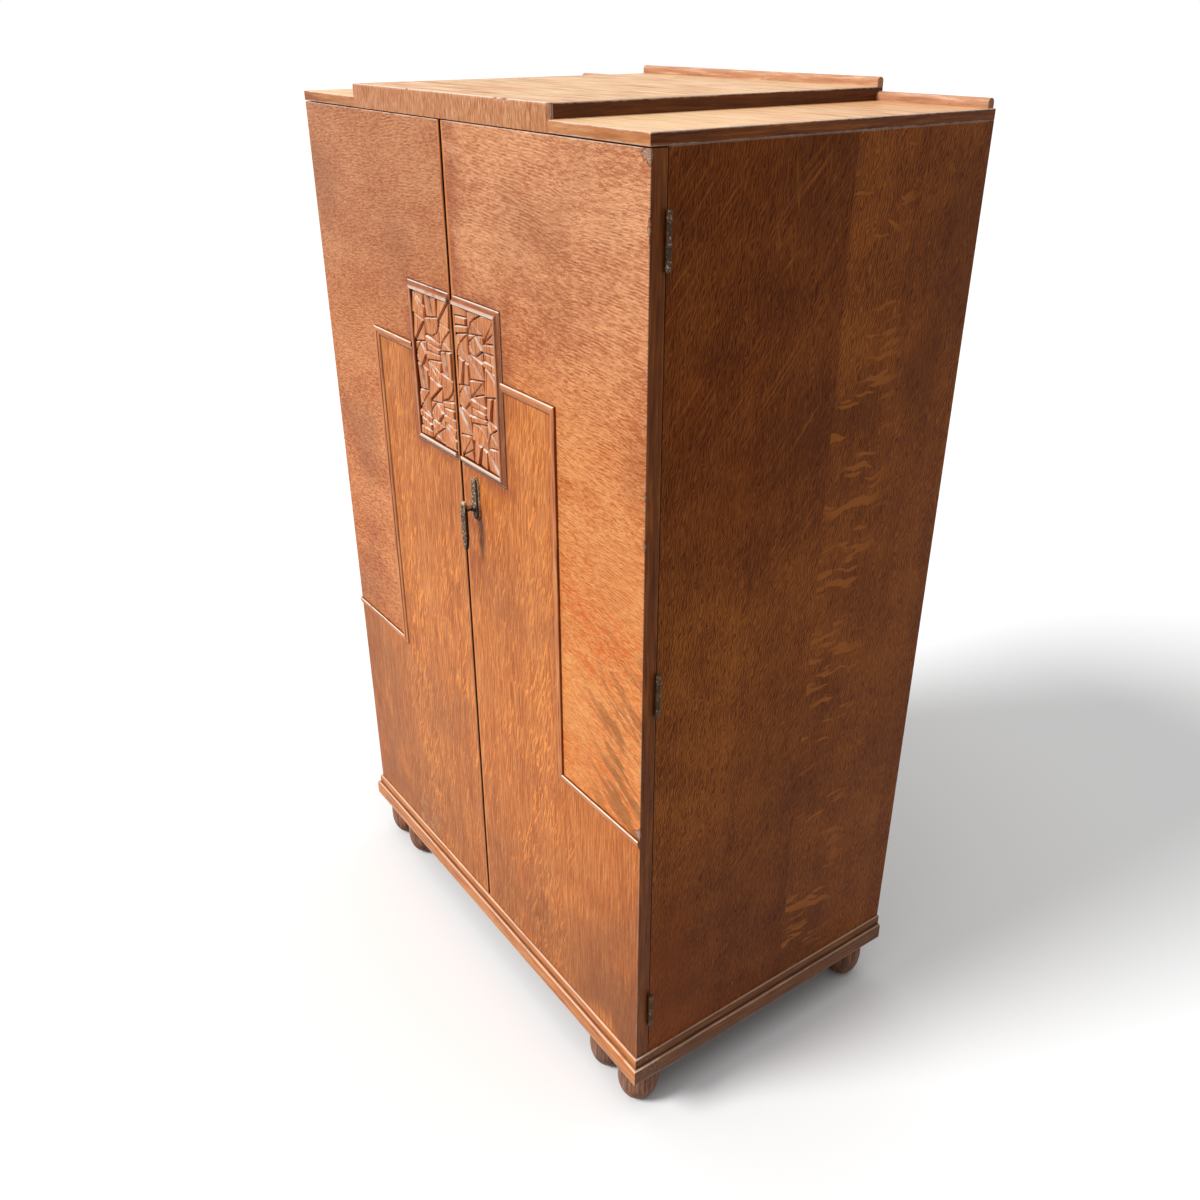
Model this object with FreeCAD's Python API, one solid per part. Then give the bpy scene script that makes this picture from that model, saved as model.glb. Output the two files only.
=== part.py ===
import FreeCAD
import Part

import math
import os

# Two-door oak linen cupboard with a stepped top, a moulded plinth and bun feet, in millimetres.
# X runs from left to right, Y from the front to the back and Z up from the floor.
# The origin lies on the floor under the middle of the overall box.

# Case
case_width = 900.0
case_depth = 541.0  # door fronts to the back
case_height = 1314.0  # side panels, from the plinth to the top board
side_thickness = 18.0
bottom_thickness = 18.0
bottom_housing = 6.0  # how far the case bottom is let into each side
back_thickness = 6.0
back_rebate = 9.0  # how far the back panel runs into each side
rail_thickness = 18.0
rail_depth = 70.0
edge_round = 1.2  # worn rounding of exposed board edges

# Shelves
shelf_thickness = 16.0
shelf_setback = 35.0  # case front edge to shelf front edge
shelf_end_clearance = 0.2
bearer_size = 20.0
bearer_setback = 30.0  # shelf front edge to bearer end

# Top
top_thickness = 14.0
raised_width = 524.0
raised_thickness = 17.5
fascia_thickness = 6.0
ledge_depth = 11.0
ledge_height = 12.0
ledge_end_inset = 4.0

# Plinth
plinth_lower_height = 29.0
plinth_upper_height = 17.5
plinth_lower_reach = 9.5  # how far each step stands out from the case
plinth_upper_reach = 4.0
plinth_round = 3.0
plinth_front_depth = 50.0
plinth_side_depth = 22.0
plinth_back_depth = 18.0
block_length = 145.0  # front foot blocks, along the plinth
block_depth = 36.0
back_block_size = 70.0

# Feet
foot_height = 86.0
foot_diameter = 66.0
foot_top_diameter = 58.0
foot_base_diameter = 18.0
foot_belly_height = 44.0
foot_front_setback = 33.0  # door fronts to the front feet's axes
foot_front_inset = 37.0  # case side to the outer front foot's axis
foot_pair_pitch = 79.0
foot_back_setback = 42.5
foot_back_inset = 35.0
dowel_diameter = 12.0
dowel_length = 28.0
dowel_clearance = 0.05

# Doors
door_thickness = 22.0
door_end_gap = 1.5  # at the plinth and at the top board
door_back_gap = 1.5
meeting_gap = 4.0
lipping_width = 5.5

# Bead line on each door
bead_width = 13.0
bead_height = 4.0
bead_flat = 7.0
bead_quirk = 1.3
bead_round = 0.9
bead_upper_level = 995.5  # above the plinth
bead_lower_level = 428.5

# Carved panel and its frame
frame_level = 843.5  # lower edge of the frame above the plinth
frame_length = 246.0
frame_reach = 132.0  # middle of the cupboard to the frame's outer edge
frame_width = 12.0
frame_height = 5.0
frame_flat = 4.5
frame_lip = 0.8
frame_round = 1.2
pocket_depth = 8.0
carving_recess = 2.5  # ground of the carving below the door front
carving_low = 3.2  # relief heights above the ground
carving_high = 5.8
carving_groove = 1.6  # cut between neighbouring facets
carving_sunk = 0.5  # roots of the facets below the ground
carving_column_widths = (36.0, 42.0)  # from the meeting edge outward; a third takes the rest
carving_slants = (  # rise across each column of the lines between its cells, from the bottom up
    (6.0, -7.0, 6.0, -5.0, 7.0),
    (-7.0, 6.0, -5.0, 7.0, -6.0, 5.0),
    (5.0, -6.0, 7.0, -6.0, 5.0),
)

# Butt hinges
hinge_length = 63.5
hinge_end_distance = 60.0  # door end to hinge end
leaf_thickness = 1.5
leaf_width = 19.0  # hinge axis to the leaf's free edge
knuckle_diameter = 7.0
knuckle_clearance = 0.4
knuckle_gap = 0.3
knuckle_count = 5
pin_diameter = 3.0
pin_clearance = 0.05
pin_head_diameter = 5.0
pin_head_height = 1.2

# Turn handle on the right door
handle_offset = 43.0  # middle of the cupboard to the spindle
handle_level = 786.5  # spindle above the plinth
plate_width = 17.4
plate_rise = 46.0
plate_drop = 21.5
plate_tip_width = 6.0
plate_taper = 10.0
plate_thickness = 3.5
plate_ridge_inset = 2.6
plate_ridge_height = 3.0
boss_diameter = 16.0
boss_tip_diameter = 11.0
boss_height = 5.0
spindle_diameter = 8.0
spindle_clearance = 0.08
spindle_door_clearance = 1.5
spindle_neck_diameter = 6.0
spindle_collar_diameter = 14.0
spindle_collar_clearance = 0.3
spindle_head_height = 2.0
lever_standoff = 20.0  # door front to the lever's back
lever_thickness = 6.5
lever_bevel = 1.6
lever_rise = 13.0
lever_drop = 66.0
lever_top_width = 12.0
lever_width = 15.0
lever_shoulder_drop = 8.0
lever_taper = 21.0
lever_tip_width = 5.0
tongue_thickness = 3.0
tongue_width = 14.0
tongue_overlap = 16.0  # tongue tip past the meeting edge of the left door
tongue_clearance = 0.5
keeper_thickness = 1.5
keeper_width = 18.0
keeper_height = 24.0

# Barrel bolts inside the left door
bolt_offset = 30.0  # middle of the cupboard to the bolt's axis
bolt_diameter = 7.0
bolt_length = 84.0
bolt_clearance = 0.08
bolt_end_gap = 1.5  # withdrawn bolt to the case
bolt_travel = 12.0
bolt_socket_clearance = 0.6
bolt_socket_extra = 2.0
bolt_tip_chamfer = 1.0
bolt_guide_setback = 6.0  # guide plate behind the bolt's tip
guide_plate_width = 22.0
guide_plate_length = 62.0
guide_plate_thickness = 1.5
guide_bridge_length = 9.0
guide_wall = 2.0
bolt_knob_diameter = 6.0
bolt_knob_length = 9.0
bolt_knob_gap = 2.0  # withdrawn knob to the nearest bridge

# Places worked out from the sizes above
handle_reach = lever_standoff + lever_thickness
front = -(case_depth - handle_reach) / 2
back = front + case_depth
half = case_width / 2
inner = half - side_thickness
door_back = front + door_thickness
case_front = door_back + door_back_gap
plinth_top = foot_height + plinth_lower_height + plinth_upper_height
case_top = plinth_top + case_height
board_top = case_top + top_thickness
raised_top_level = board_top + raised_thickness
raised_half = raised_width / 2
door_bottom = plinth_top + door_end_gap
door_top = case_top - door_end_gap
meeting = meeting_gap / 2
panel_edge = meeting + lipping_width
back_face = back - back_thickness
bottom_face = plinth_top + bottom_thickness
rail_face = case_top - rail_thickness
shelf_front = case_front + shelf_setback
hinge_x = half + knuckle_diameter / 2 + knuckle_clearance
hinge_y = door_back + door_back_gap / 2
hinge_starts = (
    door_bottom + hinge_end_distance,
    (door_bottom + door_top - hinge_length) / 2,
    door_top - hinge_end_distance - hinge_length,
)
plinth_front_back = front - plinth_lower_reach + plinth_front_depth
plinth_side_inner = half + plinth_lower_reach - plinth_side_depth
plinth_back_face = back - plinth_back_depth
frame_bottom = plinth_top + frame_level
frame_top = frame_bottom + frame_length
pocket_reach = frame_reach - frame_width
pocket_bottom = frame_bottom + frame_width
pocket_top = frame_top - frame_width
carving_ground = front + carving_recess
spindle_z = plinth_top + handle_level
bolt_y = door_back + guide_plate_thickness + guide_wall + bolt_diameter / 2

Vec = FreeCAD.Vector
UP = Vec(0, 0, 1)
BACKWARD = Vec(0, 1, 0)
TOUCH = 1e-6


def box(x0, x1, y0, y1, z0, z1):
    """Board between two opposite corners."""
    return Part.makeBox(x1 - x0, y1 - y0, z1 - z0, Vec(x0, y0, z0))


def bar(diameter, start, end):
    """Round bar from start to end."""
    return Part.makeCylinder(diameter / 2, (end - start).Length, start, end - start)


def mirrored(shape):
    """The same piece on the other side of the cupboard's middle."""
    return shape.mirror(Vec(0, 0, 0), Vec(1, 0, 0))


def outline(steps, place):
    """Closed wire through flat steps. A step is a point, or a pair (via, point) for an arc."""
    edges = []
    last = steps[0]
    for step in steps[1:] + steps[:1]:
        if isinstance(step[0], tuple):
            via, end = step
            edges.append(Part.Arc(place(last), place(via), place(end)).toShape())
        else:
            end = step
            edges.append(Part.makeLine(place(last), place(end)))
        last = end
    return Part.Wire(edges)


def quarter_round(start, end, level_first, arcs=1):
    """Arcs along a quarter ellipse from start to end, which is level at its start or at its end."""
    def at(turn):
        run, rise = math.sin(turn), 1 - math.cos(turn)
        if not level_first:
            run, rise = rise, run
        return (start[0] + (end[0] - start[0]) * run, start[1] + (end[1] - start[1]) * rise)
    span = math.pi / 2 / arcs
    return [(at((i + 0.5) * span), at((i + 1) * span)) for i in range(arcs)]


def eased(shape, radius, chosen):
    """Round the edges whose middle point is chosen."""
    return shape.makeFillet(radius, [edge for edge in shape.Edges if chosen(edge.CenterOfMass)])


def near(value, target):
    return abs(value - target) < TOUCH


def upright_prism(points, z0, z1):
    """Flat outline in X and Y carried up from z0 to z1."""
    wire = outline(points, lambda p: Vec(p[0], p[1], z0))
    return Part.Face(wire).extrude(Vec(0, 0, z1 - z0))


def facing_prism(points, y0, y1):
    """Flat outline in X and Z carried back from y0 to y1."""
    wire = outline(points, lambda p: Vec(p[0], y0, p[1]))
    return Part.Face(wire).extrude(Vec(0, y1 - y0, 0))


def side_panel():
    """Right side: rebated for the back, housed for the bottom and mortised for the hinge leaves."""
    plan = [
        (inner, case_front),
        (half, case_front),
        (half, back),
        (inner + back_rebate, back),
        (inner + back_rebate, back_face),
        (inner, back_face),
    ]
    panel = upright_prism(plan, plinth_top, case_top)
    housing = box(inner, inner + bottom_housing, case_front, back_face, plinth_top, bottom_face)
    mortises = [
        box(hinge_x - leaf_width, half, case_front, case_front + leaf_thickness, z, z + hinge_length)
        for z in hinge_starts
    ]
    return panel.cut([housing] + mortises)


def bolt_socket(z0, z1):
    """Hole that takes a shot bolt."""
    diameter = bolt_diameter + 2 * bolt_socket_clearance
    return bar(diameter, Vec(-bolt_offset, bolt_y, z0), Vec(-bolt_offset, bolt_y, z1))


def case_bottom():
    reach = inner + bottom_housing
    board = box(-reach, reach, case_front, back_face, plinth_top, bottom_face)
    socket_depth = bolt_travel - bolt_end_gap + bolt_socket_extra
    return board.cut(bolt_socket(bottom_face - socket_depth, bottom_face))


def top_rail_front():
    rail = box(-inner, inner, case_front, case_front + rail_depth, rail_face, case_top)
    socket_depth = bolt_travel - bolt_end_gap + bolt_socket_extra
    return rail.cut(bolt_socket(rail_face, rail_face + socket_depth))


def top_rail_back():
    return box(-inner, inner, back_face - rail_depth, back_face, rail_face, case_top)


def back_panel():
    reach = inner + back_rebate
    return box(-reach, reach, back_face, back, plinth_top, case_top)


def shelf_bottoms():
    """Undersides of the three shelves, which divide the inside evenly."""
    names = ("lower", "middle", "upper")
    clear = rail_face - bottom_face - len(names) * shelf_thickness
    space = clear / (len(names) + 1)
    return {
        name: bottom_face + (i + 1) * space + i * shelf_thickness for i, name in enumerate(names)
    }


def shelf(z):
    reach = inner - shelf_end_clearance
    board = box(-reach, reach, shelf_front, back_face, z, z + shelf_thickness)
    return eased(board, edge_round, lambda c: near(c.y, shelf_front) and near(c.x, 0))


def shelf_bearers():
    """Battens on the inside of the right side, one under each shelf."""
    return Part.Compound([
        box(inner - bearer_size, inner, shelf_front + bearer_setback, back_face, z - bearer_size, z)
        for z in shelf_bottoms().values()
    ])


def top_board():
    """Board over the whole case, notched at the front for the fascia."""
    board = box(-half, half, front, back, case_top, board_top)
    board = board.cut(
        box(-raised_half, raised_half, front, front + fascia_thickness, case_top, board_top)
    )
    return eased(
        board,
        edge_round,
        lambda c: (near(c.y, front) or near(abs(c.x), half))
        and (near(c.z, board_top) or near(c.z, case_top)),
    )


def raised_top():
    board = box(
        -raised_half, raised_half, front + fascia_thickness, back, board_top, raised_top_level
    )
    return eased(
        board, edge_round, lambda c: near(abs(c.x), raised_half) and near(c.z, raised_top_level)
    )


def raised_fascia():
    """Strip across the front of the raised part, as deep as both boards."""
    strip = box(
        -raised_half, raised_half, front, front + fascia_thickness, case_top, raised_top_level
    )
    return eased(strip, edge_round, lambda c: near(c.y, front) and near(c.z, raised_top_level))


def ledge(x0, x1, z):
    """Low strip along the back edge, with a half-round top."""
    radius = ledge_depth / 2
    shoulder = z + ledge_height - radius
    middle = back - radius
    steps = [
        (back - ledge_depth, z),
        (back - ledge_depth, shoulder),
        ((middle, z + ledge_height), (back, shoulder)),
        (back, z),
    ]
    wire = outline(steps, lambda p: Vec(x0, p[0], p[1]))
    return Part.Face(wire).extrude(Vec(x1 - x0, 0, 0))


def plinth_steps(x0, x1, y1, sides):
    """Two stacked steps from the front corner to y1, with rounded upper edges on the given sides."""
    steps = []
    levels = (
        (foot_height, foot_height + plinth_lower_height, plinth_lower_reach),
        (foot_height + plinth_lower_height, plinth_top, plinth_upper_reach),
    )
    for z0, z1, reach in levels:
        low = x0 - reach if "left" in sides else x0
        high = x1 + reach if "right" in sides else x1
        y0 = front - reach if "front" in sides else plinth_front_back
        planes = {"left": ("x", low), "right": ("x", high), "front": ("y", y0)}
        shown = [planes[side] for side in sides]
        steps.append(eased(
            box(low, high, y0, y1, z0, z1),
            plinth_round,
            lambda c: near(c.z, z1) and any(near(getattr(c, axis), at) for axis, at in shown),
        ))
    return steps[0].fuse(steps[1]).removeSplitter()


def foot_places():
    """Name and place of each foot's axis."""
    outer = half - foot_front_inset
    rows = (
        ("front", "outer", outer, front + foot_front_setback),
        ("front", "inner", outer - foot_pair_pitch, front + foot_front_setback),
        ("back", "", half - foot_back_inset, back - foot_back_setback),
    )
    places = {}
    for row, which, x, y in rows:
        for side, sign in (("left", -1), ("right", 1)):
            name = "_".join(word for word in ("foot", row, side, which) if word)
            places[name] = Vec(sign * x, y, 0)
    return places


def foot():
    """Turned bun foot on its axis, with the dowel that fixes it."""
    base = foot_base_diameter / 2
    belly = foot_diameter / 2
    top = foot_top_diameter / 2
    dowel = dowel_diameter / 2
    widest = (belly, foot_belly_height)
    steps = [
        (0, 0),
        (base, 0),
        *quarter_round((base, 0), widest, level_first=True, arcs=2),
        *quarter_round(widest, (top, foot_height), level_first=False),
        (dowel, foot_height),
        (dowel, foot_height + dowel_length),
        (0, foot_height + dowel_length),
    ]
    wire = outline(steps, lambda p: Vec(p[0], 0, p[1]))
    return Part.Face(wire).revolve(Vec(0, 0, 0), UP, 360)


def dowel_holes(row):
    """Holes for the dowels of one row of feet."""
    diameter = dowel_diameter + 2 * dowel_clearance
    return [
        bar(diameter, place + UP * foot_height, place + UP * (foot_height + dowel_length))
        for name, place in foot_places().items()
        if name.startswith("foot_" + row)
    ]


def plinth_front():
    return plinth_steps(-half, half, plinth_front_back, ("left", "right", "front")).cut(
        dowel_holes("front")
    )


def plinth_right():
    return plinth_steps(plinth_side_inner, half, back, ("right",))


def plinth_back():
    return box(
        -plinth_side_inner, plinth_side_inner, plinth_back_face, back, foot_height, plinth_top
    )


def foot_blocks():
    """Blocks in the plinth's corners, which back the front feet and carry the back feet."""
    front_block = box(
        plinth_side_inner - block_length,
        plinth_side_inner,
        plinth_front_back,
        plinth_front_back + block_depth,
        foot_height,
        plinth_top,
    )
    back_block = box(
        plinth_side_inner - back_block_size,
        plinth_side_inner,
        plinth_back_face - back_block_size,
        plinth_back_face,
        foot_height,
        plinth_top,
    )
    holes = dowel_holes("back")
    blocks = (front_block, mirrored(front_block), back_block, mirrored(back_block))
    return Part.Compound([block.cut(holes) for block in blocks])


def knuckles(which):
    """Start and end, along the hinge, of the knuckles of one leaf: 0 for the case, 1 for the door."""
    pitch = hinge_length / knuckle_count
    spans = []
    for i in range(which, knuckle_count, 2):
        low = i * pitch + (knuckle_gap / 2 if i > 0 else 0)
        high = (i + 1) * pitch - (knuckle_gap / 2 if i < knuckle_count - 1 else 0)
        spans.append((low, high))
    return spans


def hinge_leaf(which, y0, z):
    """Flat leaf with its share of the knuckles, bored for the pin."""
    leaf = box(hinge_x - leaf_width, half, y0, y0 + leaf_thickness, z, z + hinge_length)
    for low, high in knuckles(which):
        leaf = leaf.fuse([
            box(half, hinge_x, y0, y0 + leaf_thickness, z + low, z + high),
            bar(knuckle_diameter, Vec(hinge_x, hinge_y, z + low), Vec(hinge_x, hinge_y, z + high)),
        ])
    bore = bar(
        pin_diameter + 2 * pin_clearance,
        Vec(hinge_x, hinge_y, z),
        Vec(hinge_x, hinge_y, z + hinge_length),
    )
    return leaf.cut(bore).removeSplitter()


def case_leaves():
    return Part.Compound([hinge_leaf(0, case_front, z) for z in hinge_starts])


def door_leaves():
    return Part.Compound([hinge_leaf(1, door_back - leaf_thickness, z) for z in hinge_starts])


def hinge_pins():
    """Headed pins, one through the knuckles of each hinge."""
    pins = []
    for z in hinge_starts:
        top = Vec(hinge_x, hinge_y, z + hinge_length)
        shank = bar(pin_diameter, Vec(hinge_x, hinge_y, z), top)
        head = bar(pin_head_diameter, top, top + UP * pin_head_height)
        pins.append(shank.fuse(head))
    return Part.Compound(pins)


def door_panel():
    """Right door without its lipping: pocketed for the carving, mortised for the hinge leaves."""
    rounded_from = (half - edge_round, front)
    plan = [
        (panel_edge, front),
        rounded_from,
        *quarter_round(rounded_from, (half, front + edge_round), level_first=True),
        (half, door_back),
        (panel_edge, door_back),
    ]
    panel = upright_prism(plan, door_bottom, door_top)
    pocket = box(
        panel_edge, pocket_reach, front, front + pocket_depth, pocket_bottom, pocket_top
    )
    mortises = [
        box(hinge_x - leaf_width, half, door_back - leaf_thickness, door_back, z, z + hinge_length)
        for z in hinge_starts
    ]
    return panel.cut([pocket] + mortises)


def door_lipping():
    """Strip along the meeting edge of the right door."""
    strip = box(meeting, panel_edge, front, door_back, door_bottom, door_top)
    return eased(strip, edge_round, lambda c: near(c.x, meeting) and near(c.y, front))


def spindle_hole():
    diameter = spindle_diameter + 2 * spindle_door_clearance
    return bar(
        diameter, Vec(handle_offset, front, spindle_z), Vec(handle_offset, door_back, spindle_z)
    )


def door_moulding(section, start, end, inward, plan):
    """Strip on the door front: a section carried along a line and trimmed to its mitred plan.

    A section point is (distance inward from the line, height above the door front).
    """
    along = (end - start).normalize()
    margin = along * (bead_width + frame_width)
    origin = start - margin
    wire = outline(section, lambda p: origin + inward * p[0] - BACKWARD * p[1])
    strip = Part.Face(wire).extrude(end - start + margin * 2)
    tall = bead_height + frame_height
    return strip.common(facing_prism(plan, front - tall, front))


def bead_section():
    """Flat fillet with a quirk and an ovolo that falls to the door front."""
    wall_top = (0, bead_height - bead_round)
    quirk = (bead_flat, bead_height - bead_quirk)
    return [
        (0, 0),
        wall_top,
        *quarter_round(wall_top, (bead_round, bead_height), level_first=False),
        (bead_flat, bead_height),
        quirk,
        *quarter_round(quirk, (bead_width, 0), level_first=True),
    ]


def beads():
    """Upper, upright and lower bead of the right door, mitred where the line turns."""
    top = plinth_top + bead_upper_level
    low = plinth_top + bead_lower_level
    side = raised_half
    wide = bead_width
    left, down = Vec(-1, 0, 0), Vec(0, 0, -1)
    section = bead_section()
    upper_plan = [(frame_reach, top), (side, top), (side - wide, top - wide), (frame_reach, top - wide)]
    upright_plan = [(side, low), (side, top), (side - wide, top - wide), (side - wide, low - wide)]
    lower_plan = [(side, low), (half, low), (half, low - wide), (side - wide, low - wide)]
    return {
        "upper": door_moulding(
            section, Vec(frame_reach, front, top), Vec(side, front, top), down, upper_plan
        ),
        "upright": door_moulding(
            section, Vec(side, front, low), Vec(side, front, top), left, upright_plan
        ),
        "lower": door_moulding(section, Vec(side, front, low), Vec(half, front, low), down, lower_plan),
    }


def frame_section():
    """Moulding that rises from a thin lip on the door to a flat along the carving."""
    rounded_from = (frame_width - frame_round, frame_height)
    return [
        (0, 0),
        (0, frame_lip),
        (frame_width - frame_flat, frame_height),
        rounded_from,
        *quarter_round(rounded_from, (frame_width, frame_height - frame_round), level_first=True),
        (frame_width, 0),
    ]


def carving_frame():
    """Three mitred strips round the carving of the right door, open at the meeting edge."""
    near_x, far_x, wide = panel_edge, frame_reach, frame_width
    low, top = frame_bottom, frame_top
    left, up, down = Vec(-1, 0, 0), Vec(0, 0, 1), Vec(0, 0, -1)
    section = frame_section()
    top_plan = [(near_x, top), (far_x, top), (far_x - wide, top - wide), (near_x, top - wide)]
    side_plan = [(far_x, low), (far_x, top), (far_x - wide, top - wide), (far_x - wide, low + wide)]
    low_plan = [(near_x, low), (far_x, low), (far_x - wide, low + wide), (near_x, low + wide)]
    return Part.Compound([
        door_moulding(section, Vec(near_x, front, top), Vec(far_x, front, top), down, top_plan),
        door_moulding(section, Vec(far_x, front, low), Vec(far_x, front, top), left, side_plan),
        door_moulding(section, Vec(near_x, front, low), Vec(far_x, front, low), up, low_plan),
    ])


def split_facets():
    """Two triangles with a step along a diagonal."""
    low, high = carving_low, carving_high
    return [
        ([(0, 0), (1, 0), (0, 1)], [low, high, high]),
        ([(1, 1), (0, 1), (1, 0)], [high, low, low]),
    ]


def step_facets():
    """Three bars that tilt to alternate sides."""
    levels = (0, 0.3, 0.64, 1)
    facets = []
    for i in range(3):
        near_height, far_height = (carving_low, carving_high) if i % 2 else (carving_high, carving_low)
        corners = [(0, levels[i]), (1, levels[i]), (1, levels[i + 1]), (0, levels[i + 1])]
        facets.append((corners, [near_height, far_height, far_height]))
    return facets


def wedge_facets():
    """Two upright blocks that lean together at a slanted joint."""
    low, high = carving_low, carving_high
    return [
        ([(0, 0), (0.35, 0), (0.62, 1), (0, 1)], [low, high, high]),
        ([(1, 0), (1, 1), (0.62, 1), (0.35, 0)], [high, high, low]),
    ]


def fan_facets():
    """Three rays from one corner, tilted in turn."""
    low, high = carving_low, carving_high
    return [
        ([(0, 0), (1, 0), (1, 0.5)], [low, low, high]),
        ([(0, 0), (1, 0.5), (1, 1)], [low, low, high]),
        ([(0, 0), (1, 1), (0, 1)], [low, low, high]),
    ]


def peak_facets():
    """Four slopes of a pyramid with its top beside the middle of the cell."""
    low, high = carving_low, carving_high
    corners = [(0, 0), (1, 0), (1, 1), (0, 1)]
    top = (0.38, 0.6)
    return [([corners[i], corners[(i + 1) % 4], top], [low, low, high]) for i in range(4)]


def quadrant_facets():
    """Quarter of a disc that falls from one corner to its round edge, and a level corner beyond it."""
    low, high = carving_low, carving_high
    turns = [math.radians(angle) for angle in (22.5, 45, 67.5)]
    rim = [(math.cos(turn), math.sin(turn)) for turn in turns]
    return [
        ([(0, 1), (0, 0), (1, 0), *rim], [low, high, low]),
        ([(1, 0.45), (1, 1), (0.45, 1)], [low, low, low]),
    ]


def gem_facets():
    """Lozenge that tilts up to one side, between four level corners."""
    low, high = carving_low, carving_high
    gem = [(0.45, 0), (1, 0.45), (0.55, 1), (0, 0.55)]
    corners = [(1, 0), (1, 1), (0, 1), (0, 0)]
    level = [([gem[i], corners[i], gem[(i + 1) % 4]], [low, low, low]) for i in range(4)]
    return [(gem, [low, high, high]), *level]


def carving_motifs():
    """Motifs of each column of the carving, from the bottom up."""
    split, step, wedge, fan = split_facets(), step_facets(), wedge_facets(), fan_facets()
    peak, quadrant, gem = peak_facets(), quadrant_facets(), gem_facets()
    return (
        (fan, split, gem, wedge, peak, step),
        (wedge, quadrant, step, fan, split, gem, peak),
        (split, peak, wedge, quadrant, step, fan),
    )


def facet_solid(corners, heights, place):
    """Block drawn in from its outline by half a groove, with its top on a plane.

    The plane goes through the heights of the first three corners.
    """
    (x0, z0), (x1, z1), (x2, z2) = corners[:3]
    rise_1, rise_2 = heights[1] - heights[0], heights[2] - heights[0]
    turn = (x1 - x0) * (z2 - z0) - (x2 - x0) * (z1 - z0)
    slope_x = (rise_1 * (z2 - z0) - rise_2 * (z1 - z0)) / turn
    slope_z = (rise_2 * (x1 - x0) - rise_1 * (x2 - x0)) / turn
    count = len(corners)
    cx = sum(x for x, _ in corners) / count
    cz = sum(z for _, z in corners) / count
    shrink = 1 - carving_groove / (max(abs(x - cx) + abs(z - cz) for x, z in corners))
    drawn_in = [(cx + (x - cx) * shrink, cz + (z - cz) * shrink) for x, z in corners]
    foot_points = [place(x, z, -carving_sunk) for x, z in drawn_in]
    top_points = [
        place(x, z, heights[0] + slope_x * (x - x0) + slope_z * (z - z0)) for x, z in drawn_in
    ]
    rings = [Part.makePolygon(points + points[:1]) for points in (foot_points, top_points)]
    return Part.makeLoft(rings, True, True)


def column_facets(start, width, slants, motifs, tall):
    """Facets of one column in the carving's own plane. The lines between its cells are slanted."""
    levels = [tall * i / len(motifs) for i in range(len(motifs) + 1)]
    rises = (0, *slants, 0)
    facets = []
    for i, motif in enumerate(motifs):
        for corners, heights in motif:
            laid = []
            for s, t in corners:
                lower = levels[i] + rises[i] * (s - 0.5)
                upper = levels[i + 1] + rises[i + 1] * (s - 0.5)
                laid.append((start + s * width, lower + (upper - lower) * t))
            facets.append((laid, heights))
    return facets


def carved_panel(turned):
    """Panel let into the right door, with low relief facets. Turned puts the columns upside down."""
    wide = pocket_reach - panel_edge
    tall = pocket_top - pocket_bottom
    plate = box(
        panel_edge, pocket_reach, carving_ground, front + pocket_depth, pocket_bottom, pocket_top
    )

    def place(across, up, height):
        if turned:
            across, up = wide - across, tall - up
        return Vec(panel_edge + across, carving_ground - height, pocket_bottom + up)

    widths = (*carving_column_widths, wide - sum(carving_column_widths))
    solids = []
    start = 0
    for width, slants, motifs in zip(widths, carving_slants, carving_motifs()):
        for corners, heights in column_facets(start, width, slants, motifs, tall):
            solids.append(facet_solid(corners, heights, place))
        start += width
    return plate.fuse(solids)


def plate_outline(drawn_in):
    """Handle plate: round at the top, drawn to a narrow foot."""
    half_width = plate_width / 2 - drawn_in
    tip = plate_tip_width / 2 - drawn_in / 2
    x, z = handle_offset, spindle_z
    shoulder = z + plate_rise - plate_width / 2
    foot_z = z - plate_drop + drawn_in
    return [
        (x - half_width, shoulder),
        ((x, shoulder + half_width), (x + half_width, shoulder)),
        (x + half_width, foot_z + plate_taper),
        (x + tip, foot_z),
        (x - tip, foot_z),
        (x - half_width, foot_z + plate_taper),
    ]


def handle_plate():
    """Plate with a raised middle and a flared boss, bored for the spindle."""
    face = front - plate_thickness
    ridge_face = face - plate_ridge_height
    plate = facing_prism(plate_outline(0), face, front)
    ridge = facing_prism(plate_outline(plate_ridge_inset), ridge_face, face)
    seat = Vec(handle_offset, ridge_face, spindle_z)
    boss = Part.makeCone(boss_diameter / 2, boss_tip_diameter / 2, boss_height, seat, -BACKWARD)
    bore = bar(
        spindle_diameter + 2 * spindle_clearance,
        seat - BACKWARD * boss_height,
        Vec(handle_offset, front, spindle_z),
    )
    return plate.fuse([ridge, boss]).cut(bore).removeSplitter()


tongue_front = door_back + keeper_thickness + tongue_clearance
tongue_back = tongue_front + tongue_thickness


def handle_spindle():
    """Stepped shaft from the lever's face to the riveted end behind the latch tongue."""
    def at(y):
        return Vec(handle_offset, y, spindle_z)
    lever_back = front - lever_standoff
    neck = bar(spindle_neck_diameter, at(lever_back - lever_thickness), at(lever_back))
    shaft = bar(spindle_diameter, at(lever_back), at(tongue_back))
    collar = bar(spindle_collar_diameter, at(door_back + spindle_collar_clearance), at(tongue_front))
    head = bar(spindle_collar_diameter, at(tongue_back), at(tongue_back + spindle_head_height))
    return shaft.fuse([neck, collar, head]).removeSplitter()


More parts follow.
